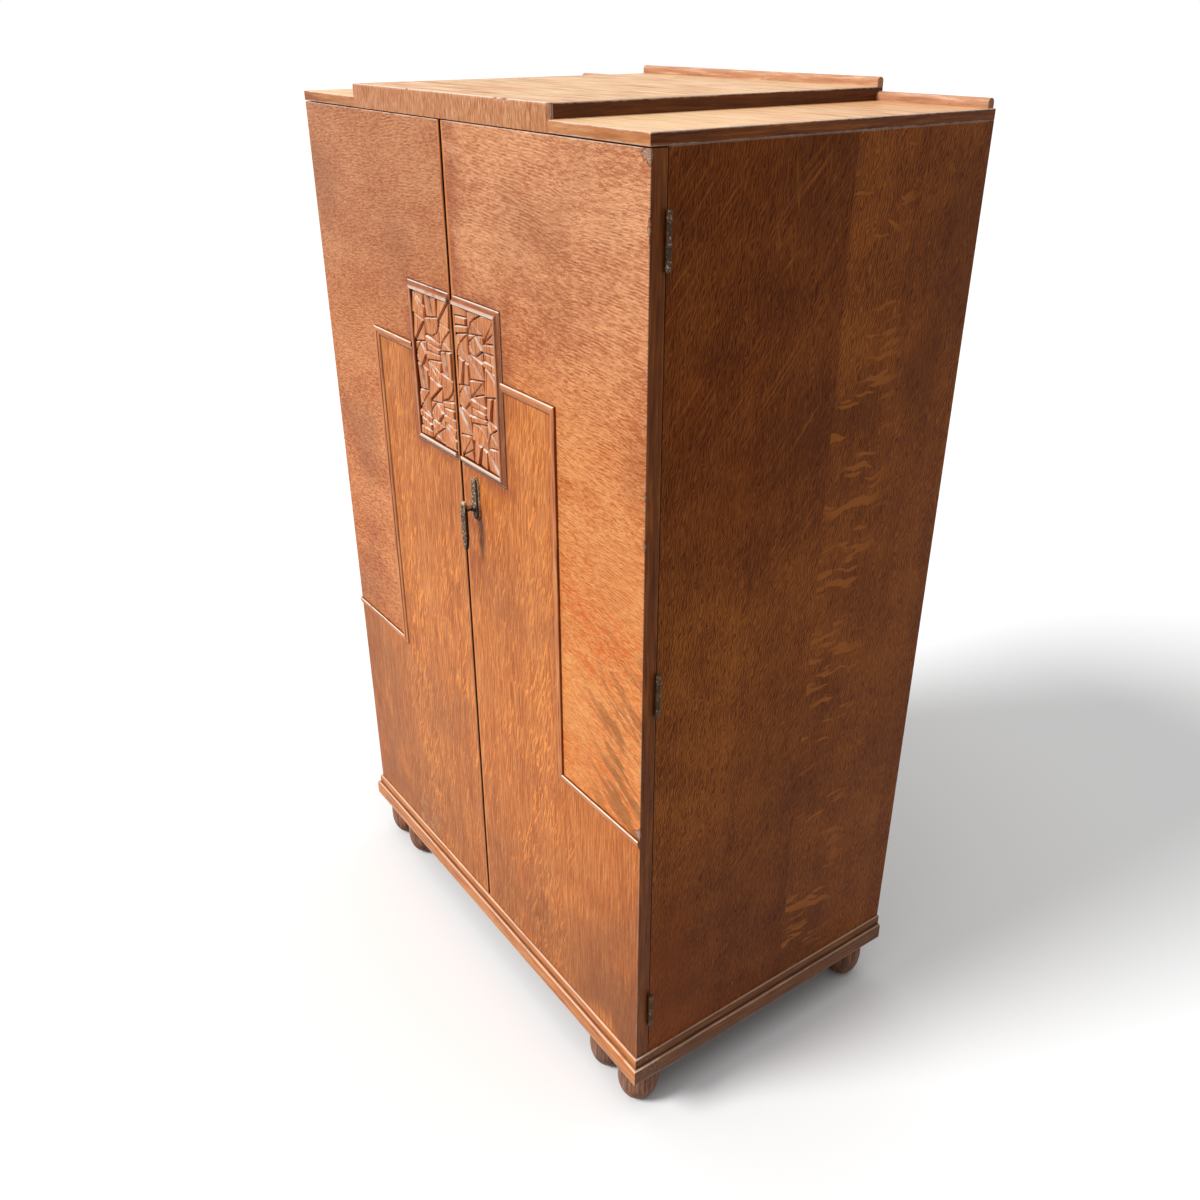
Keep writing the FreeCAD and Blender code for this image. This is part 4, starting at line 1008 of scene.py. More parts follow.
def moulding(section, start, end, inward, mitres, worn, seed):
    """Section carried straight from start to end on the door front.

    Each point stands inward and out from the line by its section values. A mitre of 1 shortens the run by
    the inward distance at that end, and -1 lengthens it. A ripple along the run wears the height down.
    Worn is the share of the section's rubbed polish and painted highlight that this run has.
    """
    sizes = settings().shapes
    points, rub, grime = section
    rub = rub * worn
    start, end = np.array(start), np.array(end)
    long = np.linalg.norm(end - start)
    along = (end - start) / long
    stations = max(3, int(long / sizes.moulding_step))
    first = mitres[0] * points[:, 0]
    last = long - mitres[1] * points[:, 0]
    run = first + (last - first) * np.linspace(0, 1, stations)[:, None]
    wear = sizes.wear_depth * (0.5 + 0.5 * ripple(run, seed, 60 * MM)) * rub
    tall = np.maximum(points[:, 1] - wear, 0)
    place = start + run[..., None] * along + points[:, :1] * inward + tall[..., None] * OUT
    across = np.broadcast_to(points[:, 0], run.shape)
    grain = np.stack([run + seed, across, tall], -1)
    return tube(place, rub=rub, grime=grime, chip=np.zeros_like(run), grain=grain)


class CUPBOARD_OT_mouldings(bpy.types.Operator):
    """Bead lines on the doors and frames round the carvings, with rubbed edges, painted highlights and
    painted shade
    """

    bl_idname = "cupboard.mouldings"
    bl_label = "Door mouldings"

    def execute(self, context):
        oak = settings().oak
        bead = worked_finish("bead_oak", oak, BEAD_TONES, rub_strength=1.0)
        border = worked_finish("frame_oak", oak, FRAME_TONES, rub_strength=0.9)
        top, low = UPPER_BEAD_HIGH[2], LOWER_BEAD_HIGH[2]
        x = UPPER_BEAD_HIGH[0]
        # The last value of each run is its share of rubbed polish and painted highlight: full on the level
        # runs, whose arris faces up, and less on the upright.
        bead_runs = {
            "upper": ((UPPER_BEAD_LOW[0], FRONT, top), (x, FRONT, top), DOWN, (0, 1), 1.0),
            "upright": ((x, FRONT, low), (x, FRONT, top), LEFT, (-1, 1), 0.3),
            "lower": ((x, FRONT, low), (HALF, FRONT, low), DOWN, (-1, 0), 1.0),
        }
        near, far = FRAME_LOW[0], FRAME_HIGH[0]
        foot, head = FRAME_LOW[2], FRAME_HIGH[2]
        # The frame's upright, too, takes less rubbed polish and painted highlight than its level runs.
        frame_runs = (
            ((near, FRONT, head), (far, FRONT, head), DOWN, (0, 1), 1.0),
            ((far, FRONT, foot), (far, FRONT, head), LEFT, (1, 1), 0.15),
            ((near, FRONT, foot), (far, FRONT, foot), UP, (0, 1), 1.0),
        )
        for side, sign in SIDES:
            body = side + "_door"
            seed = 20 if sign > 0 else 40
            for number, (name, run) in enumerate(bead_runs.items()):
                strip = moulding(bead_section(name == "upright"), *run, seed + number).mirrored(sign)
                node = f"bead_{name}_{side}"
                make_piece("worn_" + node, [strip], bead, body, [node], sharp=50)
            strips = [
                moulding(frame_section(number == 1), *run, seed + 7 + number).mirrored(sign)
                for number, run in enumerate(frame_runs)
            ]
            node = "carving_frame_" + side
            make_piece("worn_" + node, strips, border, body, [node], sharp=50)
        return {"FINISHED"}


# Carvings

CARVING_WIDE = CARVING_HIGH[0] - CARVING_LOW[0]
CARVING_TALL = CARVING_HIGH[2] - CARVING_LOW[2]
CARVING_GROUND = FRONT + 2.5 * MM
RELIEF_LOW, RELIEF_HIGH = 3.2 * MM, 5.8 * MM
GROOVE = 1.6 * MM
COLUMN_WIDTHS = (36 * MM, 42 * MM, CARVING_WIDE - 78 * MM)
SLANTS = ((6, -7, 6, -5, 7), (-7, 6, -5, 7, -6, 5), (5, -6, 7, -6, 5))
COLUMNS = (
    ("fan", "split", "gem", "wedge", "peak", "step"),
    ("wedge", "quadrant", "step", "fan", "split", "gem", "peak"),
    ("split", "peak", "wedge", "quadrant", "step", "fan"),
)


def motif_facets():
    """Facets of each motif in a cell of unit size: corners, and L or H for the first three heights."""
    cell = [(0, 0), (1, 0), (1, 1), (0, 1)]
    levels = (0, 0.3, 0.64, 1)
    turns = np.radians((22.5, 45, 67.5))
    rim = list(zip(np.cos(turns), np.sin(turns)))
    bars = [[(0, low), (1, low), (1, high), (0, high)] for low, high in zip(levels, levels[1:])]
    gem = [(0, 0.55), (0.45, 0), (1, 0.45), (0.55, 1)]
    return {
        "split": [([(0, 0), (1, 0), (0, 1)], "LHH"), ([(1, 1), (0, 1), (1, 0)], "HLL")],
        "step": list(zip(bars, ("HLL", "LHH", "HLL"))),
        "wedge": [
            ([(0, 0), (0.35, 0), (0.62, 1), (0, 1)], "LHH"),
            ([(1, 0), (1, 1), (0.62, 1), (0.35, 0)], "HHL"),
        ],
        "fan": [
            ([(0, 0), (1, 0), (1, 0.5)], "LLH"),
            ([(0, 0), (1, 0.5), (1, 1)], "LLH"),
            ([(0, 0), (1, 1), (0, 1)], "LLH"),
        ],
        "peak": [([cell[i], cell[(i + 1) % 4], (0.38, 0.6)], "LLH") for i in range(4)],
        "quadrant": [([(0, 1), (0, 0), (1, 0), *rim], "LHL"), ([(1, 0.45), (1, 1), (0.45, 1)], "LLL")],
        "gem": [
            ([*gem[1:], gem[0]], "LHH"),
            *(([gem[i], cell[i], gem[(i + 1) % 4]], "LLL") for i in range(4)),
        ],
    }


def laid_facets():
    """All facets in the carving's plane: cells stacked in columns, with slanted lines between them."""
    motifs = motif_facets()
    heights = {"L": RELIEF_LOW, "H": RELIEF_HIGH}
    start = 0.0
    for wide, slants, names in zip(COLUMN_WIDTHS, SLANTS, COLUMNS):
        levels = np.linspace(0, CARVING_TALL, len(names) + 1)
        rises = np.array((0, *slants, 0)) * MM
        for number, name in enumerate(names):
            for corners, marks in motifs[name]:
                s, t = np.array(corners, float).T
                lower = levels[number] + rises[number] * (s - 0.5)
                upper = levels[number + 1] + rises[number + 1] * (s - 0.5)
                laid = np.stack([start + s * wide, lower + (upper - lower) * t], -1)
                yield laid, np.array([heights[mark] for mark in marks])
        start += wide


def carve(across, up, corners, heights, shoulder):
    """Height of one facet over a grid, and how far each point lies inside it.

    The facet is the plane through the heights of its first three corners. It falls to the ground over a
    rounded shoulder, half a groove inside its outline.
    """
    fit = np.linalg.solve(np.c_[corners[:3], np.ones(3)], heights)
    plane = fit[0] * across + fit[1] * up + fit[2]
    edges = np.roll(corners, -1, 0) - corners
    turn = np.sign(edges[0, 0] * edges[1, 1] - edges[0, 1] * edges[1, 0])
    normals = turn * np.stack([-edges[:, 1], edges[:, 0]], -1) / np.linalg.norm(edges, axis=1)[:, None]
    offset = (corners * normals).sum(1)
    inside = (across[..., None] * normals[:, 0] + up[..., None] * normals[:, 1] - offset).min(-1)
    depth = inside - GROOVE / 2
    return plane * np.sqrt(np.clip(depth / shoulder, 0, 1)), depth


def carved_relief(turned, sizes):
    """Carving as a height over across and up: the highest facet, with gouge marks and a punched ground."""
    step = sizes.carving_step
    columns = int(CARVING_WIDE / step)
    rows = int(CARVING_TALL / step)
    across, up = np.meshgrid(np.linspace(0, CARVING_WIDE, columns), np.linspace(0, CARVING_TALL, rows))
    laid_across, laid_up = (CARVING_WIDE - across, CARVING_TALL - up) if turned else (across, up)
    tall = np.zeros_like(across)
    arris = np.zeros_like(across)
    for corners, heights in laid_facets():
        height, depth = carve(laid_across, laid_up, corners, heights, sizes.carving_shoulder)
        edge = (depth > 0) * np.exp(-depth / (0.9 * MM)) * smooth(height / RELIEF_LOW)
        arris = np.where(height > tall, edge, arris)
        tall = np.maximum(tall, height)
    rng = np.random.default_rng(12 if turned else 11)
    stipple = rng.random(tall.shape)
    for axis in (0, 1):
        stipple = (stipple + np.roll(stipple, 1, axis) + np.roll(stipple, -1, axis)) / 3
    cut = smooth(tall / RELIEF_LOW)
    marks = ripple(across * 0.8 + up * 0.6, 5, 4 * MM) * ripple(up - across * 0.4, 6, 18 * MM)
    tall = tall + cut * sizes.gouge_depth * marks - (1 - cut) * sizes.stipple_depth * stipple
    rim = np.minimum.reduce([across, CARVING_WIDE - across, up, CARVING_TALL - up])
    # Painted shade: points sunk below the mean of their neighbours darken, and so does a band along the
    # panel's rim by the frame; the cut-away ground is a little darker too.
    around = tall
    for axis in (0, 1):
        around = sum(np.roll(around, shift, axis) for shift in range(-3, 4)) / 7
    sunk = np.clip((around - tall) / (1.3 * MM), 0, 1)
    grime = np.clip(0.95 * sunk + 0.1 * (1 - cut) + 0.5 * np.exp(-rim / (1.5 * MM)), 0, 1)
    # Painted highlight: rubbed polish mostly on arrises that face up, towards the light, in patches.
    facing_up = smooth(-np.gradient(tall, axis=0) / step * 1.6)
    patchy = smooth(0.45 + 1.6 * ripple(up + across * 0.7, 21, 34 * MM))
    rub = np.clip(arris * (0.06 + 2.2 * facing_up) * (0.25 + 0.75 * patchy), 0, 1)
    place = np.stack([CARVING_LOW[0] + across, CARVING_GROUND - tall, CARVING_LOW[2] + up], -1)
    grain = np.stack([up, across, tall], -1)
    return relief(
        place, CARVING_HIGH[1], rub=rub, grime=grime, chip=np.zeros_like(rub), grain=grain
    )


class CUPBOARD_OT_carvings(bpy.types.Operator):
    """Low relief panels of tilted facets, let into the doors at the meeting edges"""

    bl_idname = "cupboard.carvings"
    bl_label = "Carvings"

    def execute(self, context):
        oak = settings().oak
        tones = (oak.front_dark, oak.carving, oak.carving_light)
        material = worked_finish("carving_oak", oak, tones, rub_strength=1.0, roughness=0.5, fibre=2.4 * MM)
        for side, sign in SIDES:
            solid = carved_relief(sign < 0, settings().shapes).mirrored(sign)
            node = "carved_panel_" + side
            make_piece("fine_" + node, [solid], material, side + "_door", [node], sharp=30)
        return {"FINISHED"}


class CUPBOARD_OT_doors(bpy.types.Operator):
    """Figured veneer on the doors and straight grain on their lippings"""

    bl_idname = "cupboard.doors"
    bl_label = "Doors"

    def execute(self, context):
        oak = settings().oak
        dress(door_finish(oak), "door_panel_left", "door_panel_right")
        dress(lipping_finish(oak), "door_lipping_left", "door_lipping_right")
        return {"FINISHED"}


class CUPBOARD_OT_case(bpy.types.Operator):
    """Sides, inside boards, shelves and back"""

    bl_idname = "cupboard.case"
    bl_label = "Case"

    def execute(self, context):
        oak = settings().oak
        dress(side_finish(oak), "side_panel_left", "side_panel_right")
        inside = (oak.inside_dark, oak.inside_middle, oak.inside_light)
        level = plain_finish("inside_wood", inside, "x", contrast=0.9, roughness=0.62)
        dress(level, "case_bottom", "top_rail_front", "top_rail_back", "plinth_back", "foot_blocks")
        dress(level, "shelf_lower", "shelf_middle", "shelf_upper")
        deep = plain_finish("bearer_wood", inside, "y", contrast=0.9, roughness=0.62)
        dress(deep, "shelf_bearers_left", "shelf_bearers_right")
        dress(back_finish(oak), "back_panel")
        return {"FINISHED"}


# Top

# Nicks in the fascia's top edge: place from left to right, and width
FASCIA_NICKS = ((0.143, 4 * MM), (0.163, 7 * MM), (-0.09, 3 * MM))


def worn_fascia():
    """Fascia as sections across its thickness, carried from left to right.

    The front face is pushed back near its right end and in nicks on its top edge, where it has broken off.
    """
    low, high = FASCIA_LOW, FASCIA_HIGH
    columns, rows, corner = 263, 14, 1.2 * MM
    along = np.linspace(low[0], high[0], columns)
    rise = np.linspace(low[2], high[2] - corner, rows)
    turn = np.linspace(0, np.pi / 2, 5)[1:]
    y = np.concatenate([np.full(rows, low[1]), low[1] + corner * (1 - np.cos(turn)), [high[1], high[1]]])
    z = np.concatenate([rise, high[2] - corner * (1 - np.sin(turn)), [high[2], low[2]]])
    x, y = np.meshgrid(along, y, indexing="ij")
    z = np.broadcast_to(z, x.shape)
    from_end = high[0] - x
    below_top = high[2] - z
    ragged = 1 + 0.5 * ripple(z + x, 3, 5 * MM)
    above_wing = smooth((z - BOARD_HIGH[2]) / (2 * MM) + 1)
    broken = smooth(1.6 - from_end / (3.4 * MM * ragged)) * above_wing
    nicks = np.zeros_like(x)
    for at, wide in FASCIA_NICKS:
        apart = np.hypot((x - at) / wide, below_top / (2.6 * MM * ragged))
        nicks = np.maximum(nicks, smooth(1.5 - apart))
    worn = 0.4 * MM * (0.5 + 0.5 * ripple(x, 9, 50 * MM)) * smooth(1 - below_top / (3 * MM))
    front_face = y < (low[1] + high[1]) / 2
    chip = np.maximum(broken, nicks) * front_face
    depth = (broken * 3.2 + nicks * 1.8) * MM * (1 + 0.4 * ripple(z * 1.3 - x, 4, 3 * MM)) + worn
    y = y + np.clip(depth, 0, 4.2 * MM) * front_face
    rub = smooth(1 - below_top / (1.6 * MM)) * front_face
    grain = np.stack([z, x, y], -1)
    place = np.stack([x, y, z], -1)
    return tube(place, rub=rub, grime=np.zeros_like(x), chip=chip, grain=grain)


class CUPBOARD_OT_top(bpy.types.Operator):
    """Top boards, back ledges and the chipped fascia"""

    bl_idname = "cupboard.top"
    bl_label = "Top"

    def execute(self, context):
        oak = settings().oak
        dress(top_finish(oak), "top_board", "raised_top")
        ledge = plain_finish("ledge_oak", LEDGE_TONES, "x", contrast=0.5)
        dress(ledge, "ledge_left", "ledge_centre", "ledge_right")
        figure = {"contrast": 0.9, "fibre": 2.0 * MM, "long": 12 * MM, "banding": 0.3}
        fascia = worked_finish("fascia_oak", oak, FASCIA_TONES, rub_strength=0.7, **figure)
        make_piece("worn_fascia", [worn_fascia()], fascia, "case", ["raised_fascia"])
        return {"FINISHED"}


# Base


def plinth_section():
    """How far each point of the plinth's two steps stands out and how high, with its rubbed polish and
    painted highlight, and its dark polish and painted shade.
    """
    low, high = PLINTH_LOW[2], PLINTH_HIGH[2]
    lower = low + 29 * MM
    outer = PLINTH_HIGH[0] - HALF
    inner = 4 * MM
    corner = 3 * MM
    # Rubbed polish and painted highlight on the rounded top edges; dark polish and painted shade at the
    # foot of the upper step and where the top meets the case.
    arris = (0, 0.05, 0.15, 0.4, 0.8, 1, 0.7, 0.2)
    runs = [
        ([[outer - 0.6 * MM, low], [outer, low + 0.6 * MM]], (0.2, 0.7), (0.5, 0)),
        (np.linspace((outer, low + 4 * MM), (outer, lower - corner), 5)[:-1], 0.08, 0),
        (arc((lower - corner, outer), (lower, outer - corner), True, 8)[:, ::-1], arris, 0),
        ([[inner + 0.4 * MM, lower]], 0.1, 1),
        ([[inner, lower + 0.4 * MM], [inner, (lower + high - corner) / 2]], (0, 0.1), (1, 0.1)),
        (arc((high - corner, inner), (high, inner - corner), True, 8)[:, ::-1], arris, 0),
        ([[0.3 * MM, high]], 0.2, 0.8),
    ]
    return gather(runs)


def plinth_board(x0, x1, y0, y1, left, right, ahead, level_grain, seed):
    """Plinth as level outlines stacked up the section: on the shown sides they stand out from the case."""
    section, rub, grime = plinth_section()
    reach, z = section[:, :1], section[:, 1:]
    wear = settings().shapes.wear_depth
    across = np.linspace(0, 1, max(8, int((x1 - x0) / (6 * MM))))
    deep = np.linspace(0, 1, max(8, int((y1 - y0) / (6 * MM))))
    low_x, high_x = x0 - left * reach, x1 + right * reach
    low_y = y0 - ahead * reach
    still = np.zeros_like(reach)
    sides = (
        (low_x + (high_x - low_x) * across, low_y + 0 * across),
        (high_x + 0 * deep, low_y + (y1 - low_y) * deep),
        (high_x + (low_x - high_x) * across, y1 + still + 0 * across),
        (low_x + 0 * deep, y1 + (low_y - y1) * deep),
    )
    x = np.concatenate([side[0][:, :-1] for side in sides], 1)
    y = np.concatenate([side[1][:, :-1] for side in sides], 1)
    z = np.broadcast_to(z, x.shape)
    along = x if level_grain == "x" else y
    sunk = wear * (0.5 + 0.5 * ripple(along, seed, 70 * MM)) * rub[:, None]
    front_shown = ahead * (y < low_y + MM)
    right_shown = right * (x > high_x - MM)
    left_shown = left * (x < low_x + MM)
    place = np.stack([x - sunk * right_shown + sunk * left_shown, y + sunk * front_shown, z], -1)
    shown = np.clip(front_shown + right_shown + left_shown, 0, 1)
    grain = np.stack([along + seed, z, y if level_grain == "x" else x], -1)
    return tube(
        place, rub=rub[:, None] * shown, grime=grime[:, None] * shown, chip=np.zeros_like(x), grain=grain
    )


def turned_foot(centre, seed, sizes):
    """Bun foot turned about its axis: a wide lower curve, a fuller upper one, lathe rings and dents."""
    low, high = span("foot_front_right_outer")
    belly = (high[0] - low[0]) / 2
    base, top, waist, tall = 9 * MM, 29 * MM, 44 * MM, PLINTH_LOW[2]
    profile = np.concatenate([
        np.linspace((base * 0.3, 0), (base, 0), 3)[:-1],
        arc((base, 0), (belly, waist), True, 26),
        arc((belly, waist), (top, tall), False, 22)[1:],
        np.linspace((top, tall), (top * 0.4, tall), 4)[1:],
    ])
    turn = np.linspace(0, 2 * np.pi, sizes.foot_segments, endpoint=False)
    radius, z = profile[:, :1], profile[:, 1:]
    ring_depth, dent_depth = 0.12 * MM, 0.35 * MM
    rings = ring_depth * ripple(z, seed, 5 * MM)
    hollow = np.clip(ripple(turn * 30 * MM + z * 0.7, seed + 1, 30 * MM) * 2.2 - 0.9, 0, 1)
    inside = (z > 0.5 * MM) * (z < tall - 0.5 * MM)
    reach = np.minimum(radius + (rings - dent_depth * hollow - ring_depth) * inside, belly)
    x, y = centre[0] + reach * np.cos(turn), centre[1] + reach * np.sin(turn)
    z = np.broadcast_to(z, x.shape)
    # Rubbed polish and painted highlight round the belly; painted shade under the plinth and where the foot
    # meets the floor.
    rub = np.clip(0.55 - 0.5 * np.abs(z - waist) / waist + 0 * turn, 0, 1)
    grime = np.clip((z - 70 * MM) / (20 * MM), 0, 0.6) + 0.6 * smooth(1 - z / (8 * MM))
    grain = np.stack([z + seed, x, y], -1)
    return tube(np.stack([x, y, z], -1), rub=rub, grime=grime, chip=np.zeros_like(x), grain=grain)


class CUPBOARD_OT_base(bpy.types.Operator):
    """Stepped plinth with worn edges, and the turned bun feet"""

    bl_idname = "cupboard.base"
    bl_label = "Base"

    def execute(self, context):
        oak = settings().oak
        front = worked_finish("plinth_oak", oak, PLINTH_TONES, 0.6, return_tones=SIDE_PLINTH_TONES)
        board = plinth_board(-HALF, HALF, FRONT, PLINTH_HIGH[1], 1, 1, 1, "x", 60)
        make_piece("worn_plinth_front", [board], front, "case", ["plinth_front"])
        flank = worked_finish("side_plinth_oak", oak, SIDE_PLINTH_TONES, rub_strength=0.35)
        for side, sign in SIDES:
            near, far = SIDE_PLINTH_LOW[1], SIDE_PLINTH_HIGH[1]
            board = plinth_board(SIDE_PLINTH_LOW[0], HALF, near, far, 0, 1, 0, "y", 64 + int(sign))
            node = "plinth_" + side
            make_piece("worn_" + node, [board.mirrored(sign)], flank, "case", [node])
        foot_tones = (oak.foot_dark, oak.foot_middle, oak.foot_light)
        feet = worked_finish("foot_oak", oak, foot_tones, rub_strength=0.2, roughness=0.52, contrast=1.0)
        names = sorted(
            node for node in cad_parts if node.startswith("foot_") and node != "foot_blocks"
        )
        for number, node in enumerate(names):
            low, high = span(node)
            solid = turned_foot((low + high) / 2, 80 + number, settings().shapes)
            make_piece("turned_" + node, [solid], feet, "case", [node], sharp=60)
        return {"FINISHED"}


# Metal fittings

HINGE_LONG = 63.5 * MM
# Heights of a leaf's screws, in shares of the hinge
SCREW_SHARES = (0.16, 0.5, 0.84)


def screw_head(centre, facing, radius, seed, dome=0.12 * MM):
    """Slotted head: a low dome over polar rings, cut by a straight slot, on a short rim."""
    rng = np.random.default_rng(seed)
    slot_turn = rng.uniform(0, np.pi)
    share = np.array([0.08, 0.25, 0.42, 0.6, 0.78, 0.92, 1.0, 1.0])[:, None]
    turn = np.linspace(0, 2 * np.pi, 32, endpoint=False)
    beside = share * radius * np.sin(turn - slot_turn)
    tall = dome * (1 - share * share) - 0.5 * MM * (np.abs(beside) < 0.4 * MM) * (share < 1)
    tall[-1] = -0.8 * MM
    place = np.stack([
        centre[0] + share * radius * np.cos(turn),
        centre[1] + facing * tall,
        centre[2] + share * radius * np.sin(turn),
    ], -1)
    rub = np.broadcast_to(smooth(share * 1.2), tall.shape)
    return tube(place, rub=rub, grime=np.zeros_like(tall))


class CUPBOARD_OT_hinges(bpy.types.Operator):
    """Aged steel butt hinges with slotted screws in their leaves"""

    bl_idname = "cupboard.hinges"
    bl_label = "Hinges"

    def execute(self, context):
        metal, sizes = settings().metal, settings().shapes
        bright, rust = metal.steel_bright, metal.rust
        steel = metal_finish("hinge_steel", metal.steel, bright, rust, 0.42, metallic=0.5, speckled=0.6)
        worn = metal_finish("door_leaf_steel", metal.leaf, bright, rust, 0.42, metallic=0.5, speckled=0.15)
        screws = metal_finish("hinge_screws", metal.steel, metal.screw_bright, rust, 0.4)
        for side, sign in SIDES:
            dress(steel, "hinge_case_leaves_" + side, "hinge_pins_" + side)
            dress(worn, "hinge_door_leaves_" + side)
            for part, body, facing in (("case", "case", -1), ("door", side + "_door", 1)):
                low, high = span(f"hinge_{part}_leaves_right")
                face = SIDE_LOW[1] if part == "case" else DOOR_HIGH[1]
                x = (low[0] + HALF) / 2
                starts = (low[2], (low[2] + high[2] - HINGE_LONG) / 2, high[2] - HINGE_LONG)
                heads = []
                for number, start in enumerate(starts):
                    for place, share in enumerate(SCREW_SHARES):
                        nudge = 2.4 * MM * (-1) ** place
                        centre = (x + nudge, face, start + share * HINGE_LONG)
                        seed = number * 3 + place + 30 * (facing > 0)
                        heads.append(screw_head(centre, facing, sizes.screw_radius, seed).mirrored(sign))
                make_piece(f"{part}_hinge_screws_{side}", heads, screws, body)
        return {"FINISHED"}


def dents(first, second, spread, seed, sizes, count):
    """Depth of round hammer marks scattered over a surface measured by two distances."""
    rng = np.random.default_rng(seed)
    low, high = np.array(spread[0]), np.array(spread[1])
    marks = rng.uniform(low, high, (count, 2))
    radius = sizes.dent_radius * rng.uniform(0.7, 1.25, count)
    distance = np.hypot(first[..., None] - marks[:, 0], second[..., None] - marks[:, 1]) / radius
    return (sizes.dent_depth * np.clip(1 - distance * distance, 0, 1)).max(-1)


def hammered_plate(sizes):
    """Handle plate as a relief on its outline: a bevel, a step up to the raised middle and hammer marks.

    The outline is round at the top and drawn in to a narrow foot; rows of the grid follow its half width.
    """
    x = (PLATE_LOW[0] + PLATE_HIGH[0]) / 2
    half = (PLATE_HIGH[0] - PLATE_LOW[0]) / 2
    low, high = PLATE_LOW[2], PLATE_HIGH[2]
    taper, tip = 10 * MM, 3 * MM
    z = np.concatenate([
        np.linspace(low, low + taper, 16)[:-1],
        np.linspace(low + taper, high - half, 50)[:-1],
        high - half + half * np.sin(np.linspace(0, 1.52, 22)),
    ])[:, None]
    lower = tip + (half - tip) * np.clip((z - low) / taper, 0, 1)
    upper = np.sqrt(np.clip(half * half - np.clip(z - high + half, 0, None) ** 2, 0, None))
    wide = np.minimum(lower, upper)
    share = np.linspace(-1, 1, 31)
    across = wide * share
    from_edge = np.minimum(wide - np.abs(across), np.minimum(z - low, high - z) + 0 * across)
    rim_tall, bevel = 3.5 * MM, 0.8 * MM
    middle_rise, step_at, step_wide = 3.0 * MM, 2.0 * MM, 1.2 * MM
    tall = rim_tall * np.sqrt(np.clip(from_edge / bevel, 0.04, 1))
    tall = tall + middle_rise * smooth((from_edge - step_at) / step_wide)
    marks = dents(across, z + 0 * across, ((-half, low), (half, high)), 3, sizes, count=46)
    tall = np.clip(tall - marks * (from_edge > 0.4 * MM), 0.2 * MM, None)
    place = np.stack([x + across, FRONT - tall, z + 0 * across], -1)
    # Rubbed bronze with painted highlight along the outer and inner arrises; painted shade down the plate's
    # right-hand side.
    outer_arris = np.exp(-np.abs(from_edge - 0.7 * MM) / (0.5 * MM))
    inner_arris = np.exp(-np.abs(from_edge - 3 * MM) / (0.6 * MM))
    rub = np.clip((outer_arris + inner_arris) * 0.6 + (marks < 0.05 * MM) * 0.1, 0, 1)
    grime = smooth((across - wide + 3.4 * MM) / (1.2 * MM)) * (from_edge > 0.9 * MM)
    return relief(place, FRONT, rub=rub, grime=grime)


def turned_bar(profile, centre, seed):
    """Bar turned about an axis along Y through centre: rings of the given distance out and radius."""
    turn = np.linspace(0, 2 * np.pi, 40, endpoint=False)
    out, radius = profile[:, :1], profile[:, 1:]
    reach = radius * (1 - 0.025 * (0.5 + 0.5 * ripple(out * 1.3 + turn * 6 * MM, seed, 8 * MM)))
    place = np.stack([
        centre[0] + reach * np.cos(turn),
        FRONT - out + 0 * turn,
        centre[1] + reach * np.sin(turn),
    ], -1)
    rub = np.broadcast_to(np.gradient(profile[:, 1])[:, None] > 0, reach.shape) * 0.4 + 0.1
    # Painted shade on the lower part of the bar.
    grime = smooth(0.6 - np.sin(turn)) * np.ones_like(reach)
    return tube(place, rub=rub, grime=grime)


def hammered_lever(centre, sizes):
    """Lever as rounded sections stacked down its length, round at the top and drawn in at the tip.

    A section is a squared oval: cosine and sine to a power below one. Hammer marks dent it all round.
    """
    low, high = LEVER_LOW, LEVER_HIGH
    top_half, half, tip = 6 * MM, (high[0] - low[0]) / 2, 2.5 * MM
    shoulder = high[2] - top_half
    z = np.concatenate([
        low[2] + 2.5 * MM * (1 - np.cos(np.linspace(0.12, np.pi / 2, 8)))[:-1],
        np.linspace(low[2] + 2.5 * MM, shoulder, 80)[:-1],
        shoulder + top_half * np.sin(np.linspace(0, 1.5, 18)),
    ])[:, None]
    swell = top_half + (half - top_half) * smooth((shoulder - z) / (14 * MM))
    drawn = tip + (half - tip) * smooth((z - low[2]) / (25 * MM)) ** 0.6
    dome = np.sqrt(np.clip(top_half ** 2 - np.clip(z - shoulder, 0, None) ** 2, 0, None))
    nose = np.sqrt(np.clip((z - low[2] + 0.4 * MM) / (2.9 * MM), 0, 1))
    wide = np.minimum(np.minimum(swell, drawn), np.where(z > shoulder, dome, swell)) * nose
    thick = (high[1] - low[1]) / 2 * np.clip(wide / (4 * MM), 0.1, 1) ** 0.5
    turn = np.linspace(0, 2 * np.pi, 56, endpoint=False)
    cos, sin = np.cos(turn), np.sin(turn)
    across = wide * np.sign(cos) * np.abs(cos) ** 0.55
    out = thick * np.sign(sin) * np.abs(sin) ** 0.55
    girth = 40 * MM
    around = turn / (2 * np.pi) * girth + 0 * z
    marks = dents(around, z + 0 * turn, ((0, low[2]), (girth, high[2])), 8, sizes, count=110)
    shrink = 1 - marks / np.maximum(np.hypot(across, out), MM)
    middle = (low[1] + high[1]) / 2
    place = np.stack([centre[0] + across * shrink, middle - out * shrink, z + 0 * turn], -1)
    # Painted highlight on the rounded top, and rubbed bronze between the dents; painted shade down the
    # right-hand face.
    rub = np.clip((marks < 0.04 * MM) * 0.15 + 0.7 * smooth((z - shoulder) / top_half), 0, 1)
    grime = smooth((cos - 0.75) / 0.15) * smooth((shoulder - z) / top_half)
    return tube(place, rub=rub, grime=grime)


